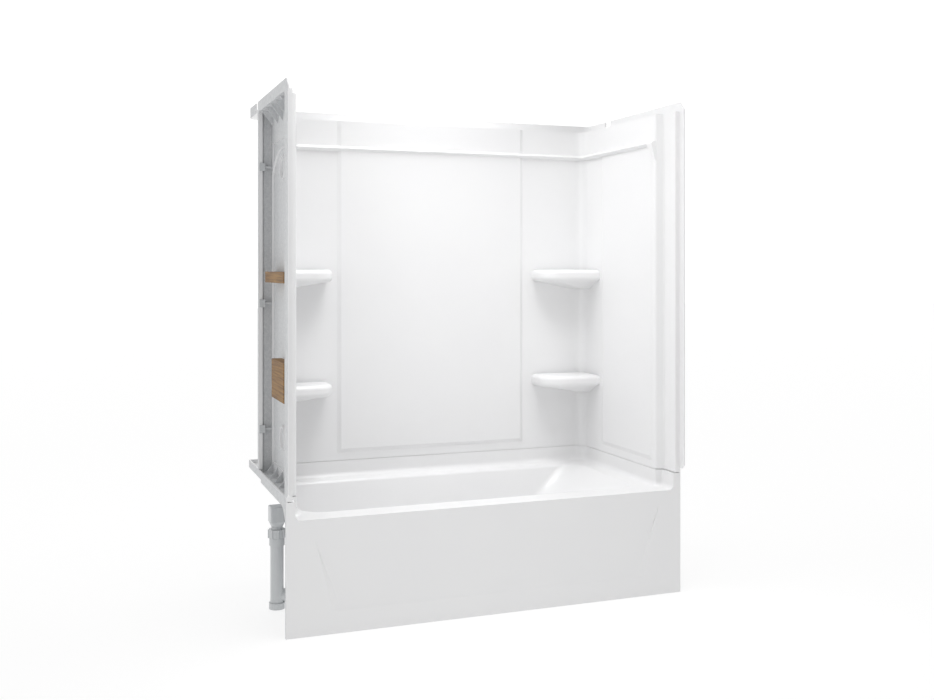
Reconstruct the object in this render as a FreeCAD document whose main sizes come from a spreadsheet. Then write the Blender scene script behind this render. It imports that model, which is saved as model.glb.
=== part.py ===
import FreeCAD, Part
import math
import os
import Sketcher

# A modular bath and shower unit: a bath with an integral apron, a back wall with four shelves, two end
# walls and a lever-worked waste and overflow at the left end.
# Millimetres. X runs along the bath to the right, Y to the back, Z up.
# The origin is on the floor, midway between the ends and midway between front and back.

SIZES = {
    # The whole unit
    "unit_width": 1524,
    "frame_depth": 762,
    "unit_height": 1880,
    "shell": 5,
    "overrun": 30,
    # Nailing flanges
    "nailing_reach": 32,
    "nailing_width": 58,
    "nailing_height": 35,
    "nailing_cut": 30,
    "flange_corner": 35,
    # Bath: deck, curb and lip
    "deck_height": 394,
    "seam_height": 457,
    "lip_height": 475,
    "lip_gap": 1,
    "skirt_height": 434,
    "skirt_step": 11,
    "skirt_step_depth": 273,
    "jamb_width": 31,
    "jamb_depth": 83,
    "step_run": 10,
    "step_round": 10,
    "curb_inset": 56,
    "back_inset": 52,
    "corner_cove": 45,
    "deck_cove": 20,
    "rim_round": 20,
    # Basin: insets of its rim, bend and floor from the unit's sides
    "bend_height": 292,
    "floor_height": 86,
    "rim_left": 84,
    "rim_right": 122,
    "rim_front": 113,
    "rim_back": 121,
    "rim_corner": 80,
    "bend_left": 104,
    "bend_right": 262,
    "bend_front": 129,
    "bend_back": 153,
    "bend_corner": 75,
    "floor_left": 122,
    "floor_right": 377,
    "floor_front": 165,
    "floor_back": 197,
    "floor_corner": 65,
    "floor_round": 48,
    # Apron
    "apron_return": 13,
    "return_round": 75,
    "recess_depth": 6,
    "recess_low": 77,
    "recess_high": 340,
    "recess_low_inset": 162,
    "recess_high_inset": 95,
    "recess_bevel": 33,
    "recess_side_bevel": 18,
    "recess_fade": 60,
    # Walls
    "end_inset": 55,
    "column_inset": 22,
    "return_depth": 211,
    "return_lip_width": 14,
    "return_lip_depth": 20,
    "end_flange_width": 30,
    "panel_inset": 357,
    "panel_rise": 41,
    "panel_raise": 8,
    "panel_bevel": 16,
    "end_panel_raise": 5,
    "end_panel_margin": 18,
    "ledge_height": 1722,
    "ledge_thickness": 19,
    "ledge_reach": 18,
    "ledge_slope": 8,
    "ledge_under": 9,
    "ledge_tip": 55,
    "ledge_tip_depth": 40,
    "seam_slot": 3,
    "rib_thickness": 4,
    "rib_depth": 20,
    "rib_spacing": 180,
    "gusset_height": 68,
    "gusset_foot": 33,
    "gusset_foot_height": 50,
    "gusset_spacing": 92,
    "top_notch": 45,
    # Shelves
    "shelf_upper": 1237,
    "shelf_lower": 784,
    "shelf_inset": 308,
    "shelf_set_back": 2,
    "shelf_nose": 50,
    "shelf_corner": 80,
    "shelf_round": 19,
    "corbel_drop": 34,
    "corbel_margin": 30,
    # Marks for the plumbing on the left end wall's back face
    "mark_radius": 45,
    "mark_width": 6,
    "mark_rise": 3,
    "shower_mark": 1612,
    "spout_mark": 625,
    "mark_line": 44,
    "arch_angle": 42,
    "arch_height": 1424,
    # Backer boards
    "board_thickness": 38,
    "board_low": 775,
    "board_wide": 140,
    "board_high": 1190,
    "board_narrow": 40,
    "board_clearance": 5,
    "board_start": 10,
    "board_long": 362,
    "board_short": 228,
    "back_board_length": 1080,
    # Seam clips
    "clip_width": 22,
    "clip_height": 30,
    "clip_thickness": 5,
    "clip_inset": 2,
    "clip_high": 1628,
    "clip_middle": 1109,
    "clip_low": 629,
    # Waste and overflow: the upright pipe
    "pipe_inset": 34,
    "drain_line": 22,
    "pipe_radius": 24.1,
    "pipe_bore": 20.4,
    "pipe_top": 250,
    "slip_gap": 0.3,
    "seat_height": 17.5,
    "seat_bore": 17,
    "collar_radius": 29,
    "collar_height": 23,
    "collar_socket": 11,
    "collar_stop": 2,
    "hub_low": 231,
    "hub_height": 27,
    "hub_radius": 28,
    "thread_radius": 26,
    "thread_top": 276,
    "nut_low": 259,
    "nut_height": 31,
    "nut_radius": 30,
    "nut_cap": 6,
    "nut_lug": 3.5,
    # Overflow elbow
    "overflow_height": 340,
    "elbow_width": 58,
    "elbow_length": 52,
    "elbow_drop": 22,
    "elbow_rise": 34,
    "elbow_wall": 4,
    "elbow_round": 6,
    "elbow_taper": 20,
    "elbow_out": 28,
    "neck_radius": 20.5,
    "neck_bore": 17.5,
    "neck_low": 253,
    "elbow_flange_radius": 36,
    "elbow_flange": 6,
    "throat_radius": 26,
    "throat_bore": 19.5,
    # Overflow opening in the bath
    "overflow_inset": 98,
    "overflow_hole": 26,
    "overflow_pad": 40,
    "overflow_seat": 37,
    "overflow_gasket": 6,
    "gasket_bore": 28,
    # Face plate, lever and linkage
    "plate_radius": 35,
    "plate_rise": 8,
    "plate_thickness": 2,
    "screw_place": 23,
    "screw_radius": 2,
    "screw_head": 4.5,
    "screw_head_height": 2.5,
    "screw_end": 2,
    "boss_height": 6,
    "ear_width": 2.5,
    "ear_height": 9,
    "pivot_depth": 12,
    "pivot_radius": 2,
    "lever_width": 8,
    "lever_thickness": 5,
    "lever_reach": 34,
    "lever_paddle": 13,
    "paddle_length": 10,
    "hub_turn_radius": 5,
    "lever_angle": 15,
    "running_gap": 0.05,
    "side_gap": 0.4,
    "crank_pin_radius": 2,
    "arm_height": 8,
    "yoke_width": 14,
    "yoke_thickness": 3,
    "yoke_rise": 7,
    "yoke_drop": 26,
    "yoke_boss": 12,
    "slot_gap": 0.4,
    "rod_radius": 2.5,
    "rod_nut_radius": 5.5,
    "rod_nut_height": 6,
    "plunger_gap": 0.6,
    "plunger_wall": 3,
    "plunger_length": 62,
    "plunger_bridge": 6,
    # Branch and drain
    "branch_height": 47,
    "branch_end": 44,
    "branch_radius": 22.5,
    "branch_thread": 9,
    "branch_nut_length": 24,
    "branch_nut_radius": 28,
    "shoe_tube_radius": 19,
    "shoe_tube_bore": 17,
    "shoe_tube_in": 26,
    "drain_reach": 190,
    "shoe_radius": 29,
    "shoe_flange_radius": 34,
    "shoe_flange": 6,
    "drain_gasket": 3,
    "drain_neck_radius": 23.8,
    "drain_neck": 26,
    "drain_bore": 19,
    "drain_hole": 26,
    "drain_flange_radius": 36,
    "drain_flange": 3,
    "drain_spoke": 3,
    "spoke_depth": 6,
    "spoke_top": 16,
    "drain_hub": 5,
    "strainer_radius": 30,
    "strainer_thickness": 1.5,
    "strainer_rise": 3,
    "strainer_hole": 2.5,
    "strainer_ring": 13,
    "strainer_outer_ring": 22,
    # Foam pad under the basin floor
    "foam_left": 292,
    "foam_right": 432,
    "foam_width": 290,
    "foam_round": 20,
}

FULL_TURN = 360
RIB_COUNT = 6
GUSSET_COUNT = 5
LUG_COUNT = 8
RIGHT = 1
LEFT = -1

doc = FreeCAD.newDocument("tub_and_shower")
sheet = doc.addObject("Spreadsheet::Sheet", "Sizes")


class Size:
    """A number together with the sheet formula that it comes from."""

    def __init__(self, value, formula):
        self.value = value
        self.formula = formula

    def __add__(self, other):
        other = as_size(other)
        return Size(self.value + other.value, f"({self.formula} + {other.formula})")

    def __radd__(self, other):
        return as_size(other) + self

    def __sub__(self, other):
        other = as_size(other)
        return Size(self.value - other.value, f"({self.formula} - {other.formula})")

    def __rsub__(self, other):
        return as_size(other) - self

    def __mul__(self, factor):
        factor = as_size(factor)
        return Size(self.value * factor.value, f"({self.formula} * {factor.formula})")

    def __rmul__(self, factor):
        return self * factor

    def __truediv__(self, divisor):
        divisor = as_size(divisor)
        return Size(self.value / divisor.value, f"({self.formula} / {divisor.formula})")

    def __neg__(self):
        return self * -1


def as_size(number):
    """Turns a plain number into a Size, and leaves a Size as it is."""
    if isinstance(number, Size):
        return number
    return Size(number, f"({number})")


def sine(angle):
    """The sine of an angle kept on the sheet in degrees."""
    return Size(math.sin(math.radians(angle.value)), f"sin({angle.formula} * 1 deg)")


def cosine(angle):
    """The cosine of an angle kept on the sheet in degrees."""
    return Size(math.cos(math.radians(angle.value)), f"cos({angle.formula} * 1 deg)")


def fill_sheet():
    """Writes each driving size in its own row and returns the sizes by name."""
    sizes = {}
    for row, (name, value) in enumerate(SIZES.items(), start=1):
        sheet.set(f"A{row}", name)
        sheet.set(f"B{row}", str(value))
        sheet.setAlias(f"B{row}", name)
        sizes[name] = Size(value, f"Sizes.{name}")
    doc.recompute()
    return sizes


s = fill_sheet()

# Planes and faces that several pieces share
half_width = s["unit_width"] / 2
half_depth = (s["frame_depth"] + s["nailing_reach"]) / 2
front = s["nailing_reach"] - half_depth
wall_top = s["unit_height"] - s["nailing_height"]
skin_low = s["seam_height"] + s["seam_slot"]
wall_face = half_width - s["end_inset"]
back_face = half_depth - s["back_inset"]
column_face = half_width - s["column_inset"]
step_front = front + s["jamb_depth"]
step_back = step_front + s["step_run"]
seam = half_depth - s["return_depth"]
pipe_x = s["pipe_inset"] - half_width
pipe_y = -s["drain_line"]
drain_x = pipe_x + s["drain_reach"]
basin_under = s["floor_height"] - s["shell"]
overflow_face = s["overflow_inset"] - half_width
pad_back = overflow_face - s["shell"]
elbow_face = pad_back - s["overflow_gasket"]
clip_outer = half_width - s["clip_inset"]
clip_inner = clip_outer - s["clip_width"]
pivot_x = overflow_face - s["pivot_depth"]
pipe_line = (pipe_x, pipe_y)
drain_line = (drain_x, pipe_y)
branch_line = (pipe_y, s["branch_height"])
overflow_line = (pipe_y, s["overflow_height"])
branch_end = pipe_x + s["branch_end"]
plunger_radius = s["pipe_bore"] - s["plunger_gap"]


def bind(thing, path, size):
    """Binds one property of an object to the sheet."""
    thing.setExpression(path, as_size(size).formula)


def place(thing, x, y, z):
    """Binds an object's position to the sheet."""
    bind(thing, "Placement.Base.x", x)
    bind(thing, "Placement.Base.y", y)
    bind(thing, "Placement.Base.z", z)


def new_body(name):
    """Starts a body whose planes are ready to carry sketches."""
    body = doc.addObject("PartDesign::Body", name)
    doc.recompute()
    return body


def sketch_on(body, role, height, name):
    """Puts a sketch on one of the body's own planes, moved along +Z, +Y or +X by height."""
    sketch = body.newObject("Sketcher::SketchObject", name)
    planes = [plane for plane in body.Origin.OriginFeatures if plane.Role == role]
    sketch.AttachmentSupport = [(planes[0], "")]
    sketch.MapMode = "FlatFace"
    # The XZ plane looks to the front, so its offset runs against Y.
    bind(sketch, "AttachmentOffset.Base.z", -height if role == "XZ_Plane" else height)
    return sketch


def pin_point(sketch, geometry, x, y):
    """Ties the first point of a sketch's line or point to two sizes of the sheet."""
    for kind, size in (("DistanceX", x), ("DistanceY", y)):
        rule = Sketcher.Constraint(kind, -1, 1, geometry, 1, as_size(size).value)
        number = sketch.addConstraint(rule)
        bind(sketch, f"Constraints[{number}]", size)


def outline(sketch, corners):
    """Draws a closed outline through corners (x, y) or, where they are rounded, (x, y, radius)."""
    points = [FreeCAD.Vector(as_size(c[0]).value, as_size(c[1]).value, 0) for c in corners]
    radii = [as_size(c[2]).value if len(c) > 2 else 0 for c in corners]
    count = len(corners)
    starts = []
    ends = []
    for i in range(count):
        to_last = (points[i - 1] - points[i]).normalize()
        to_next = (points[(i + 1) % count] - points[i]).normalize()
        half_angle = to_last.getAngle(to_next) / 2
        reach = radii[i] / math.tan(half_angle)
        starts.append(points[i] + to_last * reach)
        ends.append(points[i] + to_next * reach)
    lines = []
    for i in range(count):
        line = Part.LineSegment(ends[i], starts[(i + 1) % count])
        lines.append(sketch.addGeometry(line))
    for i in range(count):
        before = lines[i - 1]
        after = lines[i]
        if not radii[i]:
            sketch.addConstraint(Sketcher.Constraint("Coincident", before, 2, after, 1))
            pin_point(sketch, after, corners[i][0], corners[i][1])
            continue
        to_last = (points[i - 1] - points[i]).normalize()
        to_next = (points[(i + 1) % count] - points[i]).normalize()
        half_angle = to_last.getAngle(to_next) / 2
        centre = points[i] + (to_last + to_next).normalize() * (radii[i] / math.sin(half_angle))
        angle_in = math.atan2(starts[i].y - centre.y, starts[i].x - centre.x)
        angle_out = math.atan2(ends[i].y - centre.y, ends[i].x - centre.x)
        turns_left = to_last.cross(to_next).z < 0
        circle = Part.Circle(centre, FreeCAD.Vector(0, 0, 1), radii[i])
        if turns_left:
            arc = sketch.addGeometry(Part.ArcOfCircle(circle, angle_in, angle_out))
            first, last = 1, 2
        else:
            arc = sketch.addGeometry(Part.ArcOfCircle(circle, angle_out, angle_in))
            first, last = 2, 1
        corner = sketch.addGeometry(Part.Point(points[i]), True)
        sketch.addConstraint(Sketcher.Constraint("Tangent", before, 2, arc, first))
        sketch.addConstraint(Sketcher.Constraint("Tangent", arc, last, after, 1))
        number = sketch.addConstraint(Sketcher.Constraint("Radius", arc, radii[i]))
        bind(sketch, f"Constraints[{number}]", corners[i][2])
        sketch.addConstraint(Sketcher.Constraint("PointOnObject", corner, 1, before))
        sketch.addConstraint(Sketcher.Constraint("PointOnObject", corner, 1, after))
        pin_point(sketch, corner, corners[i][0], corners[i][1])


def rectangle(sketch, left, right, low, high):
    """Draws a rectangle between two places on each axis."""
    outline(sketch, [(left, low), (right, low), (right, high), (left, high)])


def pad(body, sketch, length, reverse=False):
    """Grows a sketch into the body; on XY and YZ it grows up and right, on XZ to the front."""
    feature = body.newObject("PartDesign::Pad", sketch.Name + "_pad")
    feature.Profile = sketch
    bind(feature, "Length", length)
    feature.Reversed = reverse
    sketch.Visibility = False
    return feature


def pocket(body, sketch, length, reverse=False):
    """Cuts a sketch out of the body; on XY and YZ it cuts down and left, on XZ to the back."""
    feature = body.newObject("PartDesign::Pocket", sketch.Name + "_pocket")
    feature.Profile = sketch
    bind(feature, "Length", length)
    feature.Reversed = reverse
    return feature


def loft(body, sketches, cut=False):
    """Joins sketches in order with one smooth form."""
    kind = "PartDesign::SubtractiveLoft" if cut else "PartDesign::AdditiveLoft"
    feature = body.newObject(kind, sketches[0].Name + "_loft")
    feature.Profile = sketches[0]
    feature.Sections = sketches[1:]
    return feature


def edge_names(shape, wanted):
    """Names of the edges for which wanted(edge) is true."""
    names = []
    for number, edge in enumerate(shape.Edges, start=1):
        if wanted(edge):
            names.append(f"Edge{number}")
    return names


def soften(body, name, wanted, radius, kind="PartDesign::Fillet"):
    """Rounds or bevels the body's edges for which wanted(edge) is true."""
    doc.recompute()
    base = body.Tip
    names = edge_names(base.Shape, wanted)
    if not names:
        raise ValueError(f"{name}: no edge to soften")
    feature = body.newObject(kind, name)
    feature.Base = (base, names)
    bind(feature, "Size" if kind.endswith("Chamfer") else "Radius", radius)
    doc.recompute()
    return feature


def lies_at(edge, axis, place_size):
    """True for an edge that lies wholly at one place on an axis, X, Y or Z."""
    box = edge.BoundBox
    low = getattr(box, axis + "Min")
    high = getattr(box, axis + "Max")
    near = as_size(place_size).value
    slack = s["running_gap"].value
    return abs(low - near) < slack and abs(high - near) < slack


def inside(edge, x_low, x_high, y_low, y_high):
    """True for an edge whose plan box lies between the given places."""
    box = edge.BoundBox
    fits_x = x_low.value < box.XMin and box.XMax < x_high.value
    fits_y = y_low.value < box.YMin and box.YMax < y_high.value
    return fits_x and fits_y


# Part primitives for the small pieces

AXES = {
    "X": FreeCAD.Rotation(FreeCAD.Vector(0, 1, 0), 90),
    "Y": FreeCAD.Rotation(FreeCAD.Vector(1, 0, 0), -90),
    "Z": FreeCAD.Rotation(),
}


def box(name, x, y, z):
    """A box between (low, high) pairs of places on the three axes."""
    block = doc.addObject("Part::Box", name)
    bind(block, "Length", x[1] - x[0])
    bind(block, "Width", y[1] - y[0])
    bind(block, "Height", z[1] - z[0])
    place(block, x[0], y[0], z[0])
    return block


def cylinder(name, axis, radius, start, end, across):
    """A cylinder along an axis from start to end; across holds its other two places."""
    rod = doc.addObject("Part::Cylinder", name)
    bind(rod, "Radius", radius)
    bind(rod, "Height", end - start)
    rod.Placement.Rotation = AXES[axis]
    spot = {
        "X": (start, across[0], across[1]),
        "Y": (across[0], start, across[1]),
        "Z": (across[0], across[1], start),
    }[axis]
    place(rod, *spot)
    return rod


def fuse(name, pieces):
    """Joins pieces into one."""
    joined = doc.addObject("Part::MultiFuse", name)
    joined.Shapes = pieces
    joined.Refine = True
    return joined


def cut(name, base, tools):
    """Takes tools out of a piece."""
    if len(tools) > 1:
        tool = doc.addObject("Part::MultiFuse", name + "_tools")
        tool.Shapes = tools
    else:
        tool = tools[0]
    result = doc.addObject("Part::Cut", name)
    result.Base = base
    result.Tool = tool
    result.Refine = True
    return result


def sleeve(name, axis, radius, bore, start, end, across):
    """A cylinder with a bore right through it."""
    rod = cylinder(name + "_outside", axis, radius, start, end, across)
    hole = cylinder(name + "_bore", axis, bore, start - s["overrun"], end + s["overrun"], across)
    return cut(name, rod, [hole])


# Bath

def hollow_plan(grow, face):
    """Plan of the space above the deck: jambs at the front, curbs at the ends, coves at the back."""
    jamb = half_width - s["jamb_width"] + grow
    curb = half_width - s["curb_inset"] + grow
    back = back_face + grow
    cove = s["corner_cove"] + grow
    inner_round = s["step_round"]
    right_side = [
        (curb, back, cove),
        (curb, step_back + grow, inner_round),
        (jamb, step_front + grow, inner_round),
        (jamb, face),
    ]
    left_side = [(-corner[0], *corner[1:]) for corner in reversed(right_side)]
    return left_side + right_side


def basin_section(body, grow, name, height):
    """One level of the basin: its rim, bend or floor."""
    sketch = sketch_on(body, "XY_Plane", height, body.Name + "_" + name)
    left = s[name + "_left"] - half_width - grow
    right = half_width - s[name + "_right"] + grow
    low = front + s[name + "_front"] - grow
    high = half_depth - s[name + "_back"] + grow
    corner = s[name + "_corner"] + grow
    outline(sketch, [(left, low, corner), (right, low, corner), (right, high, corner), (left, high, corner)])
    return sketch


def bath_form(name, grow, face, top):
    """The space inside the bath, or with grow its outside: the hollow above the deck and the basin."""
    body = new_body(name)
    deck = s["deck_height"] - grow
    floor = s["floor_height"] - grow
    tray = sketch_on(body, "XY_Plane", deck, name + "_tray")
    outline(tray, hollow_plan(grow, face))
    pad(body, tray, top - deck)
    levels = [("floor", floor), ("bend", s["bend_height"]), ("rim", deck)]
    loft(body, [basin_section(body, grow, level, height) for level, height in levels])
    curb = half_width - s["curb_inset"] + grow
    soften(
        body, name + "_cove",
        lambda edge: lies_at(edge, "Z", deck) and edge.BoundBox.YMin > step_back.value and not inside(
            edge, -curb + s["deck_cove"], curb - s["deck_cove"], front, back_face - s["deck_cove"]),
        s["deck_cove"] + grow)
    soften(
        body, name + "_rim",
        lambda edge: lies_at(edge, "Z", deck) and inside(
            edge, -half_width + s["rim_left"] - s["shell"] * 2, half_width - s["rim_right"] + s["shell"] * 2,
            front + s["rim_front"] - s["shell"] * 2, half_depth - s["rim_back"] + s["shell"] * 2),
        s["rim_round"] - grow)
    soften(body, name + "_floor", lambda edge: lies_at(edge, "Z", floor), s["floor_round"] + grow)
    return body


def recess_sketch(body, name, place_y, grow, bevelled):
    """The apron's shallow panel, at the face or at the bottom of its bevels."""
    side = s["recess_side_bevel"] if bevelled else as_size(0)
    low = s["recess_low"] + (s["recess_bevel"] if bevelled else 0) - grow
    high = s["recess_high"] - (s["recess_fade"] if bevelled else 0) + grow
    low_x = half_width - s["recess_low_inset"] - side + grow
    high_x = half_width - s["recess_high_inset"] - side + grow
    sketch = sketch_on(body, "XZ_Plane", place_y, name)
    outline(sketch, [(-low_x, low), (low_x, low), (high_x, high), (-high_x, high)])
    return sketch


def side_skirt(body, side, name):
    """The lip, skirt and apron return at one end, drawn from the side."""
    sketch = sketch_on(body, "YZ_Plane", side * half_width, name)
    step = half_depth - s["skirt_step_depth"]
    outline(sketch, [
        (front, 0),
        (front + s["apron_return"], 0),
        (front + s["apron_return"], s["skirt_height"], s["return_round"]),
        (step, s["skirt_height"]),
        (step, s["skirt_height"] + s["skirt_step"]),
        (half_depth, s["skirt_height"] + s["skirt_step"]),
        (half_depth, s["lip_height"]),
        (front, s["lip_height"]),
    ])
    pad(body, sketch, s["shell"], reverse=side > 0)


def make_bath():
    """Basin, deck, curb, apron and lip in one moulding of even thickness."""
    shell = s["shell"]
    body = bath_form("bath_outside", shell, front, s["seam_height"])
    ledge = sketch_on(body, "XY_Plane", s["seam_height"] - shell, "bath_seam_ledge")
    rectangle(ledge, -half_width, half_width, front, half_depth)
    pad(body, ledge, shell)
    apron = sketch_on(body, "XZ_Plane", front, "bath_apron")
    rectangle(apron, -half_width, half_width, 0, s["seam_height"])
    pad(body, apron, shell, reverse=True)
    for side, name in ((LEFT, "bath_left_skirt"), (RIGHT, "bath_right_skirt")):
        side_skirt(body, side, name)
    rear = sketch_on(body, "XZ_Plane", half_depth, "bath_rear_skirt")
    rectangle(rear, -half_width, half_width, s["skirt_height"] + s["skirt_step"], s["lip_height"])
    pad(body, rear, shell)
    bulge_face = recess_sketch(body, "bulge_face", front + shell, shell, False)
    bulge_back = recess_sketch(body, "bulge_back", front + shell + s["recess_depth"], shell, True)
    loft(body, [bulge_face, bulge_back])
    recess_face = recess_sketch(body, "recess_face", front, as_size(0), False)
    recess_back = recess_sketch(body, "recess_back", front + s["recess_depth"], as_size(0), True)
    loft(body, [recess_face, recess_back], cut=True)
    inside_form = bath_form(
        "bath_inside", as_size(0), front - s["overrun"], s["seam_height"] + s["overrun"])
    # The overflow pad stands upright in the sloping end wall, with a flat seat on each side.
    seat = (pipe_y, s["overflow_height"])
    pad_outside = cylinder(
        "overflow_pad_outside", "X", s["overflow_pad"], pad_back, overflow_face + s["overrun"], seat)
    seat_cut = cylinder(
        "overflow_seat_cut", "X", s["overflow_seat"], pad_back - s["overrun"], pad_back, seat)
    pad_inside = cylinder(
        "overflow_pad_inside", "X", s["overflow_pad"], overflow_face - s["overrun"], overflow_face, seat)
    plate_space = cylinder(
        "overflow_plate_space", "X", s["overflow_pad"], overflow_face, overflow_face + s["overrun"] * 2,
        seat)
    outside = fuse("bath_outside_with_pad", [body, pad_outside])
    outside = cut("bath_outside_with_seat", outside, [seat_cut])
    space = cut("bath_inside_with_pad", inside_form, [pad_inside])
    space = fuse("bath_inside_with_plate_space", [space, plate_space])
    overflow = cylinder(
        "overflow_hole", "X", s["overflow_hole"], pad_back - s["overrun"], overflow_face + s["overrun"],
        seat)
    drain = cylinder(
        "drain_hole", "Z", s["drain_hole"], basin_under - s["overrun"], s["floor_height"] + s["overrun"],
        (drain_x, pipe_y))
    return cut("bath", outside, [space, overflow, drain])


# Walls

def mirrored(side, corners):
    """Corners given for the right side, turned over for the left one."""
    return [(corner[0] * side, *corner[1:]) for corner in corners]


def back_wall_plan():
    """Plan of the back wall: flat back, coved corners, returns and their seam flanges."""
    outer_face = wall_face + s["shell"]
    outer_back = back_face + s["shell"]
    flange_back = seam + s["shell"]
    flange_end = half_width - s["shell"] - s["lip_gap"]
    right = [
        (flange_end, flange_back),
        (flange_end, seam),
        (wall_face, seam),
        (wall_face, back_face, s["corner_cove"]),
    ]
    right_outside = [
        (outer_face, outer_back, s["corner_cove"] + s["shell"]),
        (outer_face, flange_back),
    ]
    left = [(-corner[0], *corner[1:]) for corner in reversed(right)]
    left_outside = [(-corner[0], *corner[1:]) for corner in reversed(right_outside)]
    return right + left + left_outside + right_outside


def rear_band(sketch, inner_x, inner_y, outer_x, outer_y, end, inner_round, outer_round):
    """Plan of a band that runs along one return, the back and the other return."""
    outline(sketch, [
        (-outer_x, end),
        (-inner_x, end),
        (-inner_x, inner_y, inner_round),
        (inner_x, inner_y, inner_round),
        (inner_x, end),
        (outer_x, end),
        (outer_x, outer_y, outer_round),
        (-outer_x, outer_y, outer_round),
    ])


def corner_plan(side, free_end, front_edge, free_round, inset):
    """Plan of a form in a rear corner; it ends in the wall, or with an inset just behind it."""
    cove = s["corner_cove"] + s["shell"] / 2
    into_wall = s["shell"] / 2
    if inset.value:
        cove = s["corner_cove"]
        into_wall = s["shell"] + s["lip_gap"]
    return mirrored(side, [
        (free_end + inset, front_edge + inset, free_round - inset),
        (wall_face + into_wall, front_edge + inset),
        (wall_face + into_wall, back_face + into_wall, cove),
        (free_end + inset, back_face + into_wall),
    ])


def shelf_form(name, side, top, inset):
    """A shelf with its corbel; with an inset, the hollow that the moulding leaves behind it."""
    body = new_body(name)
    low = top - s["shelf_nose"] + inset
    free_end = half_width - s["shelf_inset"]
    front_edge = seam + s["shelf_set_back"]
    margin = s["corbel_margin"]
    slab = sketch_on(body, "XY_Plane", low, name + "_slab")
    outline(slab, corner_plan(side, free_end, front_edge, s["shelf_corner"], inset))
    pad(body, slab, top - inset - low)

    def on_nose(edge):
        box = edge.BoundBox
        flat = lies_at(edge, "Z", low) or lies_at(edge, "Z", top - inset)
        x_free = side * (free_end + inset).value
        at_front = box.YMin < (front_edge + inset).value + s["shell"].value
        at_free = min(abs(box.XMin - x_free), abs(box.XMax - x_free)) < s["shell"].value
        return flat and (at_front or at_free)

    soften(body, name + "_nose", on_nose, s["shelf_round"] - inset)
    head = sketch_on(body, "XY_Plane", low, name + "_head")
    outline(head, corner_plan(
        side, free_end + margin, front_edge + margin, s["shelf_corner"] - margin, inset))
    foot = sketch_on(body, "XY_Plane", low - s["corbel_drop"], name + "_foot")
    foot_reach = s["corner_cove"] + margin / 2
    outline(foot, corner_plan(
        side, wall_face - foot_reach, back_face - foot_reach, s["corner_cove"], inset))
    loft(body, [head, foot])
    return body


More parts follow.
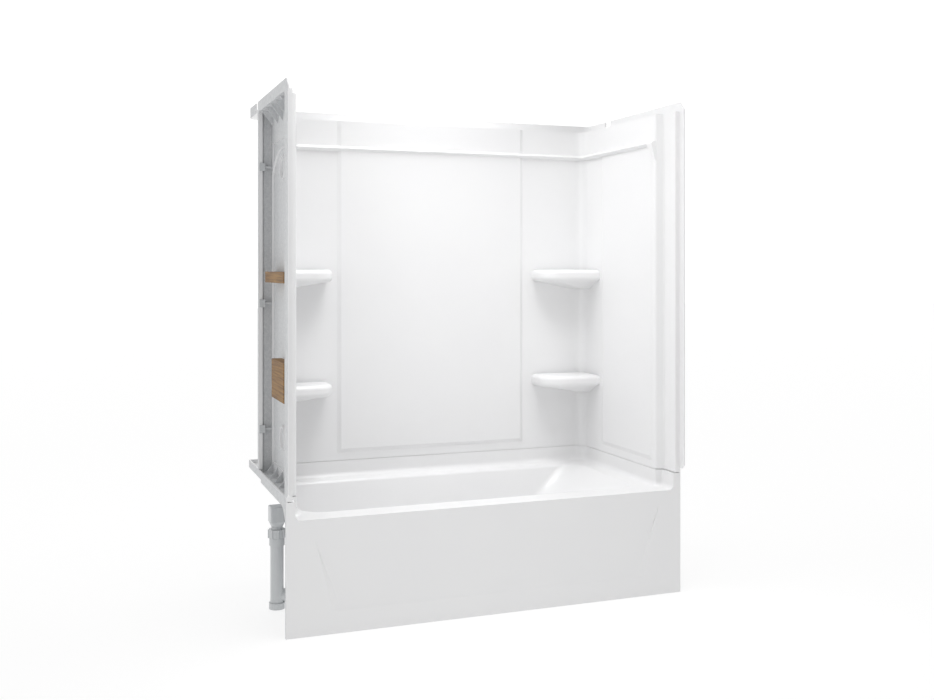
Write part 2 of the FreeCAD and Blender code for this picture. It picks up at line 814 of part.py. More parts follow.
def make_back_wall():
    """Back wall with its returns, raised panel, ledge, shelves, flanges and ribs."""
    shell = s["shell"]
    outer_face = wall_face + shell
    outer_back = back_face + shell
    cove = s["corner_cove"]
    body = new_body("back_wall_form")
    plan = sketch_on(body, "XY_Plane", skin_low, "back_wall_plan")
    outline(plan, back_wall_plan())
    pad(body, plan, wall_top - skin_low)
    # The raised panel in the middle, as deep behind as it is proud in front
    bevel = s["panel_bevel"]
    panel_half = half_width - s["panel_inset"] + bevel / 2
    panel_low = s["seam_height"] + s["panel_rise"] - bevel / 2
    panel_foot = sketch_on(body, "XZ_Plane", back_face + shell / 2, "centre_panel_foot")
    rectangle(panel_foot, -panel_half - bevel / 4, panel_half + bevel / 4, panel_low - bevel / 4, wall_top)
    panel = sketch_on(body, "XZ_Plane", back_face - s["panel_raise"], "centre_panel")
    rectangle(panel, bevel - panel_half, panel_half - bevel, panel_low + bevel, wall_top)
    loft(body, [panel_foot, panel])
    hollow = sketch_on(body, "XZ_Plane", outer_back, "centre_panel_back")
    rectangle(hollow, bevel - panel_half, panel_half - bevel, panel_low + bevel, wall_top - shell)
    pocket(body, hollow, s["panel_raise"], reverse=True)
    # The ledge below the top band
    ledge = sketch_on(body, "XY_Plane", s["ledge_height"], "back_ledge")
    nose_x = wall_face - s["ledge_reach"]
    nose_y = back_face - s["ledge_reach"]
    rear_band(
        ledge, nose_x, nose_y, wall_face + shell / 2, back_face + shell / 2, seam,
        cove - s["ledge_reach"], cove + shell / 2)
    pad(body, ledge, s["ledge_thickness"])
    ledge_top = s["ledge_height"] + s["ledge_thickness"]
    for name, height, slope in (
            ("back_ledge_slope", ledge_top, s["ledge_slope"]),
            ("back_ledge_under", s["ledge_height"], s["ledge_under"])):
        soften(
            body, name,
            lambda edge, level=height: (
                lies_at(edge, "Z", level) and not lies_at(edge, "Y", seam) and inside(
                    edge, -nose_x - shell / 2, nose_x + shell / 2, seam - shell, nose_y + shell / 2)),
            slope, "PartDesign::Chamfer")
    # Top plate and nailing flange; bottom plate inside the bath's lip
    notch = seam + s["top_notch"]
    top_plate = sketch_on(body, "XY_Plane", wall_top - shell, "back_top_plate")
    rear_band(
        top_plate, wall_face, back_face, half_width, half_depth, notch, cove, s["flange_corner"])
    pad(body, top_plate, shell)
    nailing = sketch_on(body, "XY_Plane", wall_top - shell, "back_nailing_flange")
    rear_band(
        nailing, half_width - shell, half_depth - shell, half_width, half_depth, notch,
        s["flange_corner"] - shell, s["flange_corner"])
    pad(body, nailing, s["nailing_height"] + shell)
    bottom_plate = sketch_on(body, "XY_Plane", s["seam_height"], "back_bottom_plate")
    lip_clear = shell + s["lip_gap"]
    rear_band(
        bottom_plate, wall_face + shell / 2, back_face + shell / 2, half_width - lip_clear,
        half_depth - lip_clear, seam, cove + shell / 2, s["flange_corner"])
    pad(body, bottom_plate, shell)
    # Lips that fold forward over the seams
    lip_low = s["lip_height"] + s["lip_gap"]
    for side, name in ((LEFT, "left_seam_lip"), (RIGHT, "right_seam_lip")):
        lip = sketch_on(body, "XY_Plane", lip_low, name)
        outline(lip, mirrored(side, [
            (half_width - s["return_lip_width"], seam - s["return_lip_depth"]),
            (half_width, seam - s["return_lip_depth"]),
            (half_width, seam + shell),
            (half_width - s["return_lip_width"], seam + shell),
        ]))
        pad(body, lip, wall_top - shell - lip_low)
    # Upright ribs behind, above and below the backer board; the middle ones reach into the panel's back
    under_board = s["board_low"] - s["board_clearance"]
    over_board = s["board_low"] + s["board_wide"] + s["board_clearance"]
    in_skin = outer_back - shell / 2
    spans = [
        ("low", RIB_COUNT, in_skin, s["seam_height"], under_board),
        ("high", RIB_COUNT, in_skin, over_board, wall_top - shell / 2),
        ("panel_low", RIB_COUNT - 2, in_skin - s["panel_raise"], panel_low + bevel, under_board),
        ("panel_high", RIB_COUNT - 2, in_skin - s["panel_raise"], over_board, wall_top - shell / 2),
    ]
    for name, count, root, low, high in spans:
        rib = sketch_on(body, "XY_Plane", low, "back_rib_" + name)
        left = -s["rib_spacing"] * (count - 1) / 2 - s["rib_thickness"] / 2
        rectangle(rib, left, left + s["rib_thickness"], root, outer_back + s["rib_depth"])
        feature = pad(body, rib, high - low)
        pattern = body.newObject("PartDesign::LinearPattern", "back_ribs_" + name)
        pattern.Originals = [feature]
        pattern.Direction = (rib, ["H_Axis"])
        bind(pattern, "Length", s["rib_spacing"] * (count - 1))
        pattern.Occurrences = count
        body.Tip = pattern
    shelves = []
    hollows = []
    for side, side_name in ((LEFT, "left"), (RIGHT, "right")):
        for level, top in (("upper", s["shelf_upper"]), ("lower", s["shelf_lower"])):
            name = f"{side_name}_{level}_shelf"
            shelves.append(shelf_form(name, side, top, as_size(0)))
            hollows.append(shelf_form(name + "_hollow", side, top, shell))
    solid = fuse("back_wall_with_shelves", [body] + shelves)
    return cut("back_wall", solid, hollows)


def end_wall_plan(side):
    """Plan of an end wall: seam flange, panel, rounded step and front column."""
    shell = s["shell"]
    outer_face = wall_face + shell
    column_back = column_face + shell
    flange_end = outer_face + s["end_flange_width"]
    web_end = half_width - shell
    small_round = s["step_round"] - shell
    return mirrored(side, [
        (wall_face, seam),
        (wall_face, step_back, s["step_round"]),
        (column_face, step_front, s["step_round"]),
        (column_face, front),
        (web_end, front),
        (web_end, front + shell),
        (column_back, front + shell),
        (column_back, step_front + shell, small_round),
        (outer_face, step_back + shell, small_round),
        (outer_face, seam - shell),
        (flange_end, seam - shell),
        (flange_end, seam),
    ])


def make_end_wall(side, name):
    """An end wall with its column, ledge, flanges and gussets; the left one carries plumbing marks."""
    shell = s["shell"]
    outer_face = wall_face + shell
    low = s["seam_height"]
    nailing_low = s["lip_height"] + s["lip_gap"]
    toward_middle = side > 0
    body = new_body(name + "_form")
    plan = sketch_on(body, "XY_Plane", skin_low, name + "_plan")
    outline(plan, end_wall_plan(side))
    pad(body, plan, wall_top - skin_low)
    # Nailing flange, seen from the side
    flange = sketch_on(body, "YZ_Plane", side * half_width, name + "_nailing_flange")
    flange_front = front - s["nailing_reach"]
    outline(flange, [
        (flange_front, nailing_low + s["nailing_cut"] / 2),
        (flange_front + s["nailing_cut"] / 2, nailing_low),
        (flange_front + s["nailing_width"], nailing_low),
        (flange_front + s["nailing_width"], wall_top - shell),
        (seam, wall_top - shell),
        (seam, s["unit_height"]),
        (flange_front + s["nailing_cut"], s["unit_height"]),
        (flange_front, s["unit_height"] - s["nailing_cut"]),
    ])
    pad(body, flange, shell, reverse=toward_middle)
    # Top and bottom plates
    top_plate = sketch_on(body, "XY_Plane", wall_top - shell, name + "_top_plate")
    outline(top_plate, mirrored(side, [
        (wall_face + shell / 2, seam),
        (wall_face + shell / 2, step_back, s["step_round"]),
        (column_face + shell / 2, step_front, s["step_round"]),
        (column_face + shell / 2, front),
        (half_width, front),
        (half_width, seam),
    ]))
    pad(body, top_plate, shell)
    bottom_plate = sketch_on(body, "XY_Plane", low, name + "_bottom_plate")
    rectangle(
        bottom_plate, *sorted_pair(side, wall_face + shell / 2, half_width - shell - s["lip_gap"]),
        step_back + shell, seam)
    pad(body, bottom_plate, shell)
    # Raised panel, ledge and its tapered tip
    margin = s["end_panel_margin"]
    bevel = s["panel_bevel"]
    panel_low = s["seam_height"] + s["panel_rise"] - bevel / 2
    panel_foot = sketch_on(body, "YZ_Plane", side * (wall_face + shell / 2), name + "_panel_foot")
    rectangle(
        panel_foot, step_back + margin - bevel / 2, seam - margin + bevel / 2, panel_low - bevel / 2,
        s["ledge_height"] + shell)
    panel = sketch_on(body, "YZ_Plane", side * (wall_face - s["end_panel_raise"]), name + "_panel")
    rectangle(
        panel, step_back + margin + bevel, seam - margin - bevel, panel_low + bevel,
        s["ledge_height"] + shell)
    loft(body, [panel_foot, panel])
    hollow = sketch_on(body, "YZ_Plane", side * outer_face, name + "_panel_back")
    rectangle(
        hollow, step_back + margin + bevel, seam - margin - bevel, panel_low + bevel,
        s["ledge_height"] - shell)
    pocket(body, hollow, s["end_panel_raise"], reverse=not toward_middle)
    ledge_top = s["ledge_height"] + s["ledge_thickness"]
    nose = wall_face - s["ledge_reach"]
    ledge = sketch_on(body, "XZ_Plane", seam, name + "_ledge")
    outline(ledge, mirrored(side, [
        (wall_face + shell / 2, s["ledge_height"]),
        (nose + s["ledge_under"], s["ledge_height"]),
        (nose, s["ledge_height"] + s["ledge_under"]),
        (nose, ledge_top - s["ledge_slope"]),
        (nose + s["ledge_slope"], ledge_top),
        (wall_face + shell / 2, ledge_top),
    ]))
    pad(body, ledge, seam - step_back)
    tip_root = sketch_on(body, "XY_Plane", s["ledge_height"] + s["ledge_under"], name + "_tip_root")
    rectangle(
        tip_root, *sorted_pair(side, nose, wall_face + shell / 2), step_back,
        step_back + s["ledge_tip_depth"])
    tip_point = sketch_on(body, "XY_Plane", s["ledge_height"] - s["ledge_tip"], name + "_tip_point")
    rectangle(
        tip_point, *sorted_pair(side, wall_face - s["mark_rise"] / 2, wall_face + shell / 2), step_back,
        step_back + s["mark_rise"])
    loft(body, [tip_root, tip_point])
    # Gussets between the panel's back and the top and bottom plates
    gusset_end = half_width - shell / 2
    gussets = [
        ("top", wall_top - shell / 2, wall_top - s["gusset_height"], gusset_end),
        ("bottom", low + shell / 2, low + s["gusset_foot_height"], outer_face + s["gusset_foot"]),
    ]
    for place_name, root, tip, reach in gussets:
        gusset = sketch_on(
            body, "XZ_Plane", seam - s["gusset_spacing"] / 2, f"{name}_{place_name}_gusset")
        in_wall = outer_face - shell / 2
        outline(gusset, mirrored(side, [(in_wall, root), (reach, root), (in_wall, tip)]))
        feature = pad(body, gusset, s["rib_thickness"])
        pattern = body.newObject("PartDesign::LinearPattern", f"{name}_{place_name}_gussets")
        pattern.Originals = [feature]
        pattern.Direction = (gusset, ["N_Axis"])
        bind(pattern, "Length", s["gusset_spacing"] * (GUSSET_COUNT - 1))
        pattern.Occurrences = GUSSET_COUNT
        body.Tip = pattern
    # Short ribs that carry the seam clips
    for level in ("clip_high", "clip_middle", "clip_low"):
        rib = sketch_on(body, "XY_Plane", s[level] - s["rib_thickness"], f"{name}_{level}_rib")
        rectangle(
            rib, *sorted_pair(side, outer_face - shell / 2, clip_inner - s["lip_gap"]),
            seam - s["rib_depth"], seam - shell / 2)
        pad(body, rib, s["rib_thickness"] * 2)
    return body


def sorted_pair(side, inner, outer):
    """Two places given for the right side, in rising order for either side."""
    return (inner, outer) if side > 0 else (-outer, -inner)


def make_left_end_wall():
    """The plumbing end: the plain end wall with raised marks for the fittings on its back."""
    form = make_end_wall(LEFT, "left_end_wall")
    outer = wall_face + s["shell"]
    centre_y = -s["mark_line"]
    root = -outer + s["shell"] / 2 + s["end_panel_raise"]
    marks = []
    for name, height in (("shower_mark", s["shower_mark"]), ("spout_mark", s["spout_mark"])):
        across = (centre_y, height)
        face = -outer - s["mark_rise"]
        disc = cylinder(name + "_disc", "X", s["mark_radius"], face, root, across)
        hole = cylinder(
            name + "_middle", "X", s["mark_radius"] - s["mark_width"], face - s["overrun"],
            root + s["overrun"], across)
        marks.append(cut(name, disc, [hole]))
    # A raised bead that climbs beside the seam and arches forward over the shower mark
    bead_y = seam - s["end_panel_margin"] - s["panel_bevel"]
    arch_radius = (bead_y - centre_y) / cosine(s["arch_angle"])
    arch_centre = (centre_y, s["arch_height"])
    face = -outer - s["mark_rise"]
    outward = (-half_width, -half_width + s["overrun"] * 4)
    arch = cylinder("arch_disc", "X", arch_radius, face, root, arch_centre)
    arch_middle = cylinder(
        "arch_middle", "X", arch_radius - s["mark_width"], face - s["overrun"], root + s["overrun"],
        arch_centre)
    arch_low = box(
        "arch_low", outward, (centre_y - arch_radius * 2, centre_y + arch_radius * 2),
        (s["arch_height"] - arch_radius * 2, s["arch_height"]))
    arch_rear = box(
        "arch_rear", outward, (bead_y, centre_y + arch_radius * 2),
        (s["arch_height"] - s["overrun"], s["arch_height"] + arch_radius * 2))
    arch_front = box(
        "arch_front", outward, (centre_y - arch_radius * 2, centre_y - s["mark_radius"]),
        (s["arch_height"] - s["overrun"], s["arch_height"] + arch_radius * 2))
    marks.append(cut("arch_bead", arch, [arch_middle, arch_low, arch_rear, arch_front]))
    marks.append(box(
        "upright_bead", (face, root), (bead_y - s["mark_width"], bead_y),
        (skin_low + s["panel_rise"], s["arch_height"] + arch_radius * sine(s["arch_angle"]))))
    return fuse("left_end_wall", [form] + marks)


def make_right_end_wall():
    """The plain end."""
    return make_end_wall(RIGHT, "right_end_wall")


# Clips, boards and foam

def make_clips(side, name):
    """Three angle clips that hook a back wall lip to an end wall's flange."""
    lip_front = seam - s["return_lip_depth"]
    flange_end = wall_face + s["shell"] + s["end_flange_width"]
    clips = []
    for level in ("clip_low", "clip_middle", "clip_high"):
        tall = (s[level] - s["clip_height"] / 2, s[level] + s["clip_height"] / 2)
        plate = box(
            f"{name}_{level}_plate", sorted_pair(side, clip_inner, clip_outer),
            (lip_front - s["clip_thickness"], lip_front), tall)
        leg = box(
            f"{name}_{level}_leg", sorted_pair(side, clip_inner, flange_end),
            (lip_front, seam - s["shell"]), tall)
        clips.append(fuse(f"{name}_{level}", [plate, leg]))
    group = doc.addObject("Part::Compound", name)
    group.Links = clips
    return group


def make_end_board(side, name, low, tall, length):
    """A backer board on the outside of an end wall."""
    outer_face = wall_face + s["shell"]
    start = step_back + s["board_start"]
    return box(
        name, sorted_pair(side, outer_face, outer_face + s["board_thickness"]), (start, start + length),
        (low, low + tall))


def make_back_board():
    """The backer board along the back wall."""
    outer_back = back_face + s["shell"]
    return box(
        "back_board", (-s["back_board_length"] / 2, s["back_board_length"] / 2),
        (outer_back, outer_back + s["board_thickness"]), (s["board_low"], s["board_low"] + s["board_wide"]))


def make_foam_support():
    """The foam block between the floor of the room and the basin."""
    body = new_body("foam_support")
    plan = sketch_on(body, "XY_Plane", as_size(0), "foam_plan")
    left = s["foam_left"] - half_width
    right = half_width - s["foam_right"]
    half = s["foam_width"] / 2
    turn = s["foam_round"]
    outline(plan, [(left, -half, turn), (right, -half, turn), (right, half, turn), (left, half, turn)])
    pad(body, plan, basin_under)
    return body


# Waste and overflow: fixed pieces

def make_outlet_collar():
    """The collar on the floor: the standpipe's socket above, the building pipe's socket below."""
    collar = cylinder("collar_body", "Z", s["collar_radius"], as_size(0), s["collar_height"], pipe_line)
    socket = s["pipe_radius"] + s["slip_gap"]
    upper = cylinder(
        "collar_upper", "Z", socket, s["collar_socket"], s["collar_height"] + s["overrun"], pipe_line)
    lower = cylinder(
        "collar_lower", "Z", socket, -s["overrun"], s["collar_socket"] - s["collar_stop"], pipe_line)
    bore = cylinder("collar_bore", "Z", s["pipe_bore"], -s["overrun"], s["overrun"], pipe_line)
    return cut("outlet_collar", collar, [upper, lower, bore])


def make_standpipe_tee():
    """The standpipe with its valve seat and side branch, moulded in one."""
    pipe = cylinder("standpipe", "Z", s["pipe_radius"], s["collar_socket"], s["pipe_top"], pipe_line)
    branch = cylinder("branch", "X", s["branch_radius"], pipe_x, branch_end, branch_line)
    bore = cylinder(
        "standpipe_bore", "Z", s["pipe_bore"], s["seat_height"], s["pipe_top"] + s["overrun"], pipe_line)
    seat = cylinder(
        "seat_bore", "Z", s["seat_bore"], -s["overrun"], s["seat_height"] + s["lip_gap"], pipe_line)
    port = cylinder("branch_port", "X", s["shoe_tube_bore"], pipe_x, branch_end + s["overrun"], branch_line)
    socket = cylinder(
        "branch_socket", "X", s["shoe_tube_radius"] + s["slip_gap"], pipe_x + s["shoe_tube_in"],
        branch_end + s["overrun"], branch_line)
    return cut("standpipe_tee", fuse("tee_body", [pipe, branch]), [bore, seat, port, socket])


def lugged_nut(name, axis, radius, lug, start, end, bore, cap_bore, cap, line):
    """A hand nut: a capped ring with grip lugs around it."""
    pieces = [cylinder(name + "_ring", axis, radius, start, end, line)]
    for i in range(LUG_COUNT):
        turn = as_size(i * FULL_TURN / LUG_COUNT)
        spot = (line[0] + radius * cosine(turn), line[1] + radius * sine(turn))
        pieces.append(cylinder(f"{name}_lug_{i}", axis, lug, start, end, spot))
    hollow = cylinder(name + "_hollow", axis, bore, start - s["overrun"], end - cap, line)
    hole = cylinder(name + "_hole", axis, cap_bore, start, end + s["overrun"], line)
    return cut(name, fuse(name + "_body", pieces), [hollow, hole])


def make_overflow_adapter():
    """The threaded adapter on top of the standpipe, with a stop ring inside."""
    hub = cylinder(
        "adapter_hub", "Z", s["hub_radius"], s["hub_low"], s["hub_low"] + s["hub_height"], pipe_line)
    thread = cylinder("adapter_thread", "Z", s["thread_radius"], s["hub_low"], s["thread_top"], pipe_line)
    socket = cylinder(
        "adapter_socket", "Z", s["pipe_radius"] + s["slip_gap"], s["hub_low"] - s["overrun"], s["pipe_top"],
        pipe_line)
    upper = cylinder(
        "adapter_upper", "Z", s["neck_radius"] + s["slip_gap"], s["neck_low"],
        s["thread_top"] + s["overrun"], pipe_line)
    bore = cylinder("adapter_bore", "Z", s["neck_bore"], s["hub_low"], s["thread_top"], pipe_line)
    return cut("overflow_adapter", fuse("adapter_body", [hub, thread]), [socket, upper, bore])


def make_overflow_nut():
    """The hand nut that squeezes the seal on to the elbow's neck."""
    return lugged_nut(
        "overflow_nut", "Z", s["nut_radius"], s["nut_lug"], s["nut_low"], s["nut_low"] + s["nut_height"],
        s["thread_radius"] + s["slip_gap"], s["neck_radius"] + s["slip_gap"], s["nut_cap"], pipe_line)


def make_overflow_seal():
    """The rubber seal between the adapter and the nut's cap."""
    top = s["nut_low"] + s["nut_height"] - s["nut_cap"]
    return sleeve(
        "overflow_seal", "Z", s["thread_radius"], s["neck_radius"] + s["slip_gap"], s["thread_top"], top,
        pipe_line)


def elbow_hood(name, inset):
    """The elbow's hood and the taper below it, or with an inset the space inside them."""
    body = new_body(name)
    low = s["overflow_height"] - s["elbow_drop"]
    high = s["overflow_height"] + s["elbow_rise"] - inset
    left = pipe_x - s["elbow_out"] + inset
    right = pipe_x - s["elbow_out"] + s["elbow_length"] - inset
    half = s["elbow_width"] / 2 - inset
    turn = s["elbow_round"] - inset / 2
    hood = sketch_on(body, "XY_Plane", low, name + "_hood")
    outline(hood, [
        (left, pipe_y - half, turn),
        (right, pipe_y - half, turn),
        (right, pipe_y + half, turn),
        (left, pipe_y + half, turn),
    ])
    pad(body, hood, high - low)
    soften(body, name + "_crown", lambda edge: lies_at(edge, "Z", high), turn / 2)
    reach = s["neck_bore"] if inset.value else s["neck_radius"]
    taper_top = sketch_on(body, "XY_Plane", low, name + "_taper_top")
    outline(taper_top, [
        (left, pipe_y - half, turn),
        (right, pipe_y - half, turn),
        (right, pipe_y + half, turn),
        (left, pipe_y + half, turn),
    ])
    taper_low = sketch_on(body, "XY_Plane", low - s["elbow_taper"], name + "_taper_low")
    bend = reach - s["slip_gap"]
    outline(taper_low, [
        (pipe_x - reach, pipe_y - reach, bend),
        (pipe_x + reach, pipe_y - reach, bend),
        (pipe_x + reach, pipe_y + reach, bend),
        (pipe_x - reach, pipe_y + reach, bend),
    ])
    loft(body, [taper_top, taper_low])
    return body


def make_overflow_elbow():
    """The overflow elbow: a hood over the pipe, a neck below and a flanged throat toward the bath."""
    hood = elbow_hood("elbow_outside", as_size(0))
    space = elbow_hood("elbow_inside", s["elbow_wall"])
    taper_low = s["overflow_height"] - s["elbow_drop"] - s["elbow_taper"]
    neck = cylinder("elbow_neck", "Z", s["neck_radius"], s["neck_low"], taper_low + s["lip_gap"], pipe_line)
    neck_bore = cylinder(
        "elbow_neck_bore", "Z", s["neck_bore"], s["neck_low"] - s["overrun"], taper_low + s["lip_gap"],
        pipe_line)
    hood_end = pipe_x - s["elbow_out"] + s["elbow_length"] - s["elbow_wall"]
    throat = cylinder("elbow_throat", "X", s["throat_radius"], hood_end, elbow_face, overflow_line)
    flange = cylinder(
        "elbow_flange_disc", "X", s["elbow_flange_radius"], elbow_face - s["elbow_flange"], elbow_face,
        overflow_line)
    throat_bore = cylinder(
        "elbow_throat_bore", "X", s["throat_bore"], hood_end - s["elbow_wall"], elbow_face + s["overrun"],
        overflow_line)
    tools = [space, neck_bore, throat_bore]
    for number, height in enumerate(screw_heights()):
        tools.append(cylinder(
            f"elbow_screw_hole_{number}", "X", s["screw_radius"] + s["slip_gap"],
            elbow_face - s["elbow_flange"] - s["overrun"], elbow_face + s["overrun"], (pipe_y, height)))
    return cut("overflow_elbow", fuse("elbow_body", [hood, neck, throat, flange]), tools)


def screw_heights():
    """Heights of the face plate's two screws."""
    return [s["overflow_height"] + s["screw_place"] * side for side in (LEFT, RIGHT)]


def make_overflow_gasket():
    """The soft ring between the elbow's flange and the bath."""
    return sleeve(
        "overflow_gasket", "X", s["elbow_flange_radius"], s["gasket_bore"], elbow_face, pad_back,
        overflow_line)


def sphere(name, radius, x, y, z):
    """A ball round a point."""
    ball = doc.addObject("Part::Sphere", name)
    bind(ball, "Radius", radius)
    place(ball, x, y, z)
    return ball


def dome(name, axis, radius, rise, thickness, base, line):
    """A shallow spherical cap of even thickness that stands on its rim."""
    ball_radius = (radius * radius + rise * rise) / (rise * 2)
    disc = cylinder(name + "_disc", axis, radius, base, base + rise, line)
    centre = base + rise - ball_radius
    spot = (centre, line[0], line[1]) if axis == "X" else (line[0], line[1], centre)
    outside = sphere(name + "_ball", ball_radius, *spot)
    inside_ball = sphere(name + "_hollow", ball_radius - thickness, *spot)
    cap = doc.addObject("Part::MultiCommon", name + "_cap")
    cap.Shapes = [disc, outside]
    return cut(name + "_dome", cap, [inside_ball])


def make_overflow_plate():
    """The domed face plate with the lever's slot, two screw seats and the ears that hold the pivot."""
    cap = dome(
        "face_plate", "X", s["plate_radius"], s["plate_rise"], s["plate_thickness"], overflow_face,
        overflow_line)
    pieces = [cap]
    inner = s["lever_width"] / 2 + s["side_gap"]
    ear_half = s["ear_height"] / 2
    height = s["overflow_height"]
    ear_end = overflow_face + s["plate_rise"] - s["plate_thickness"]
    for side, name in ((LEFT, "front_ear"), (RIGHT, "rear_ear")):
        near = pipe_y + inner * side
        far = pipe_y + (inner + s["ear_width"]) * side
        across = (far, near) if side < 0 else (near, far)
        pieces.append(box(
            name, (pivot_x - ear_half, ear_end + s["plate_thickness"] / 2), across,
            (height - ear_half, height + ear_half)))
    holes = []
    for number, place_z in enumerate(screw_heights()):
        line = (pipe_y, place_z)
        pieces.append(cylinder(
            f"plate_boss_{number}", "X", s["screw_head"] + s["lip_gap"], overflow_face,
            overflow_face + s["boss_height"], line))
        holes.append(cylinder(
            f"plate_screw_hole_{number}", "X", s["screw_radius"] + s["slip_gap"],
            overflow_face - s["overrun"], overflow_face + s["overrun"], line))
    slot_half = (s["pivot_depth"] + s["plate_rise"]) * sine(s["lever_angle"])
    slot_half = slot_half + s["lever_thickness"] / 2 + s["lip_gap"]
    slot = box(
        "lever_slot", (overflow_face - s["lip_gap"], overflow_face + s["overrun"]),
        (pipe_y - inner, pipe_y + inner), (height - slot_half, height + slot_half))
    pin_hole = cylinder(
        "ear_pin_hole", "Y", s["pivot_radius"] + s["running_gap"], pipe_y - s["overrun"],
        pipe_y + s["overrun"], (pivot_x, height))
    return cut("overflow_plate", fuse("plate_body", pieces), holes + [slot, pin_hole])


def make_plate_screws():
    """Two screws that pull the face plate and the elbow together."""
    screws = []
    seat = overflow_face + s["boss_height"]
    for number, height in enumerate(screw_heights()):
        line = (pipe_y, height)
        shank = cylinder(
            f"plate_shank_{number}", "X", s["screw_radius"],
            elbow_face - s["elbow_flange"] - s["screw_end"], seat, line)
        head = cylinder(
            f"plate_head_{number}", "X", s["screw_head"], seat, seat + s["screw_head_height"], line)
        screws.append(fuse(f"plate_screw_{number}", [shank, head]))
    group = doc.addObject("Part::Compound", "plate_screws")
    group.Links = screws
    return group


def make_branch_nut():
    """The hand nut on the side branch."""
    start = branch_end - s["branch_thread"]
    return lugged_nut(
        "branch_nut", "X", s["branch_nut_radius"], s["nut_lug"], start, start + s["branch_nut_length"],
        s["branch_radius"] + s["slip_gap"], s["shoe_tube_radius"] + s["slip_gap"], s["nut_cap"], branch_line)


def make_branch_seal():
    """The rubber seal between the branch's end and its nut's cap."""
    end = branch_end - s["branch_thread"] + s["branch_nut_length"] - s["nut_cap"]
    return sleeve(
        "branch_seal", "X", s["branch_radius"], s["shoe_tube_radius"] + s["slip_gap"], branch_end, end,
        branch_line)


def make_waste_shoe():
    """The elbow under the drain: a flanged cup and the tube that runs to the standpipe."""
    top = basin_under - s["drain_gasket"]
    low = s["branch_height"] - s["shoe_radius"]
    neck_low = s["floor_height"] - s["drain_neck"]
    cup = cylinder("shoe_cup", "Z", s["shoe_radius"], low, top, drain_line)
    flange = cylinder(
        "shoe_flange_disc", "Z", s["shoe_flange_radius"], top - s["shoe_flange"], top, drain_line)
    tube = cylinder(
        "shoe_tube", "X", s["shoe_tube_radius"], pipe_x + s["shoe_tube_in"], drain_x, branch_line)
    upper = cylinder(
        "shoe_upper", "Z", s["drain_neck_radius"] + s["slip_gap"], neck_low, top + s["overrun"], drain_line)
    lower = cylinder(
        "shoe_lower", "Z", s["drain_bore"], s["branch_height"] - s["shoe_tube_bore"], top, drain_line)
    bore = cylinder(
        "shoe_tube_bore_hole", "X", s["shoe_tube_bore"], pipe_x + s["shoe_tube_in"] - s["overrun"], drain_x,
        branch_line)
    return cut("waste_shoe", fuse("shoe_body", [cup, flange, tube]), [upper, lower, bore])


def make_drain_gasket():
    """The soft ring between the shoe and the basin floor."""
    return sleeve(
        "drain_gasket", "Z", s["shoe_flange_radius"], s["drain_hole"], basin_under - s["drain_gasket"],
        basin_under, drain_line)


def make_drain_flange():
    """The drain flange in the basin floor: a rim, a neck, four spokes and a hub for the screw."""
    floor = s["floor_height"]
    low = floor - s["drain_neck"]
    rim = cylinder(
        "drain_rim", "Z", s["drain_flange_radius"], floor, floor + s["drain_flange"], drain_line)
    neck = cylinder("drain_neck_outside", "Z", s["drain_neck_radius"], low, floor, drain_line)
    bore = cylinder(
        "drain_neck_bore", "Z", s["drain_bore"], low - s["overrun"], floor + s["overrun"], drain_line)
    ring = cut("drain_ring", fuse("drain_rim_and_neck", [rim, neck]), [bore])
    spoke_high = floor - s["spoke_top"]
    tall = (spoke_high - s["spoke_depth"], spoke_high)
    reach = s["drain_bore"] + s["lip_gap"]
    half = s["drain_spoke"] / 2
    along = box("spoke_along", (drain_x - reach, drain_x + reach), (pipe_y - half, pipe_y + half), tall)
    across = box("spoke_across", (drain_x - half, drain_x + half), (pipe_y - reach, pipe_y + reach), tall)
    hub = cylinder("drain_hub", "Z", s["drain_hub"], *tall, drain_line)
    hole = cylinder(
        "drain_hub_hole", "Z", s["screw_radius"] + s["slip_gap"], low, floor + s["overrun"], drain_line)
    return cut("drain_flange", fuse("drain_flange_body", [ring, along, across, hub]), [hole])


def make_strainer():
    """The domed strainer with two rings of holes round its screw."""
    base = s["floor_height"] + s["drain_flange"]
    cap = dome(
        "strainer", "Z", s["strainer_radius"], s["strainer_rise"], s["strainer_thickness"], base, drain_line)
    low = base - s["overrun"]
    high = base + s["overrun"]
    holes = [cylinder("strainer_middle", "Z", s["screw_radius"] + s["slip_gap"], low, high, drain_line)]
    for ring_name, count in (("strainer_ring", 6), ("strainer_outer_ring", 12)):
        for i in range(count):
            turn = as_size(i * FULL_TURN / count)
            spot = (drain_x + s[ring_name] * cosine(turn), pipe_y + s[ring_name] * sine(turn))
            holes.append(cylinder(f"{ring_name}_hole_{i}", "Z", s["strainer_hole"], low, high, spot))
    return cut("strainer", cap, holes)


def make_strainer_screw():
    """The screw that holds the strainer to the drain's hub."""
    seat = s["floor_height"] + s["drain_flange"] + s["strainer_rise"]
    end = s["floor_height"] - s["spoke_top"] - s["spoke_depth"] - s["screw_end"]
    shank = cylinder("strainer_shank", "Z", s["screw_radius"], end, seat, drain_line)
    head = cylinder("strainer_head", "Z", s["screw_head"], seat, seat + s["screw_head_height"], drain_line)
    return fuse("strainer_screw", [shank, head])


# Waste and overflow: moving pieces

crank_length = pivot_x - pipe_x
pin_drift = crank_length * (1 - cosine(s["lever_angle"]))
pin_x = pipe_x + pin_drift
pin_z = s["overflow_height"] + crank_length * sine(s["lever_angle"])
travel = crank_length * sine(s["lever_angle"]) * 2
plunger_low = s["seat_height"] + s["plunger_gap"] + travel
plunger_top = plunger_low + s["plunger_length"]
yoke_low = pin_z - s["yoke_drop"]


def lever_point(along, across):
    """A point of the lever: along it from the pivot toward the handle, and across it upward."""
    lean = s["lever_angle"]
    x = pivot_x + along * cosine(lean) + across * sine(lean)
    z = s["overflow_height"] - along * sine(lean) + across * cosine(lean)
    return (x, z)


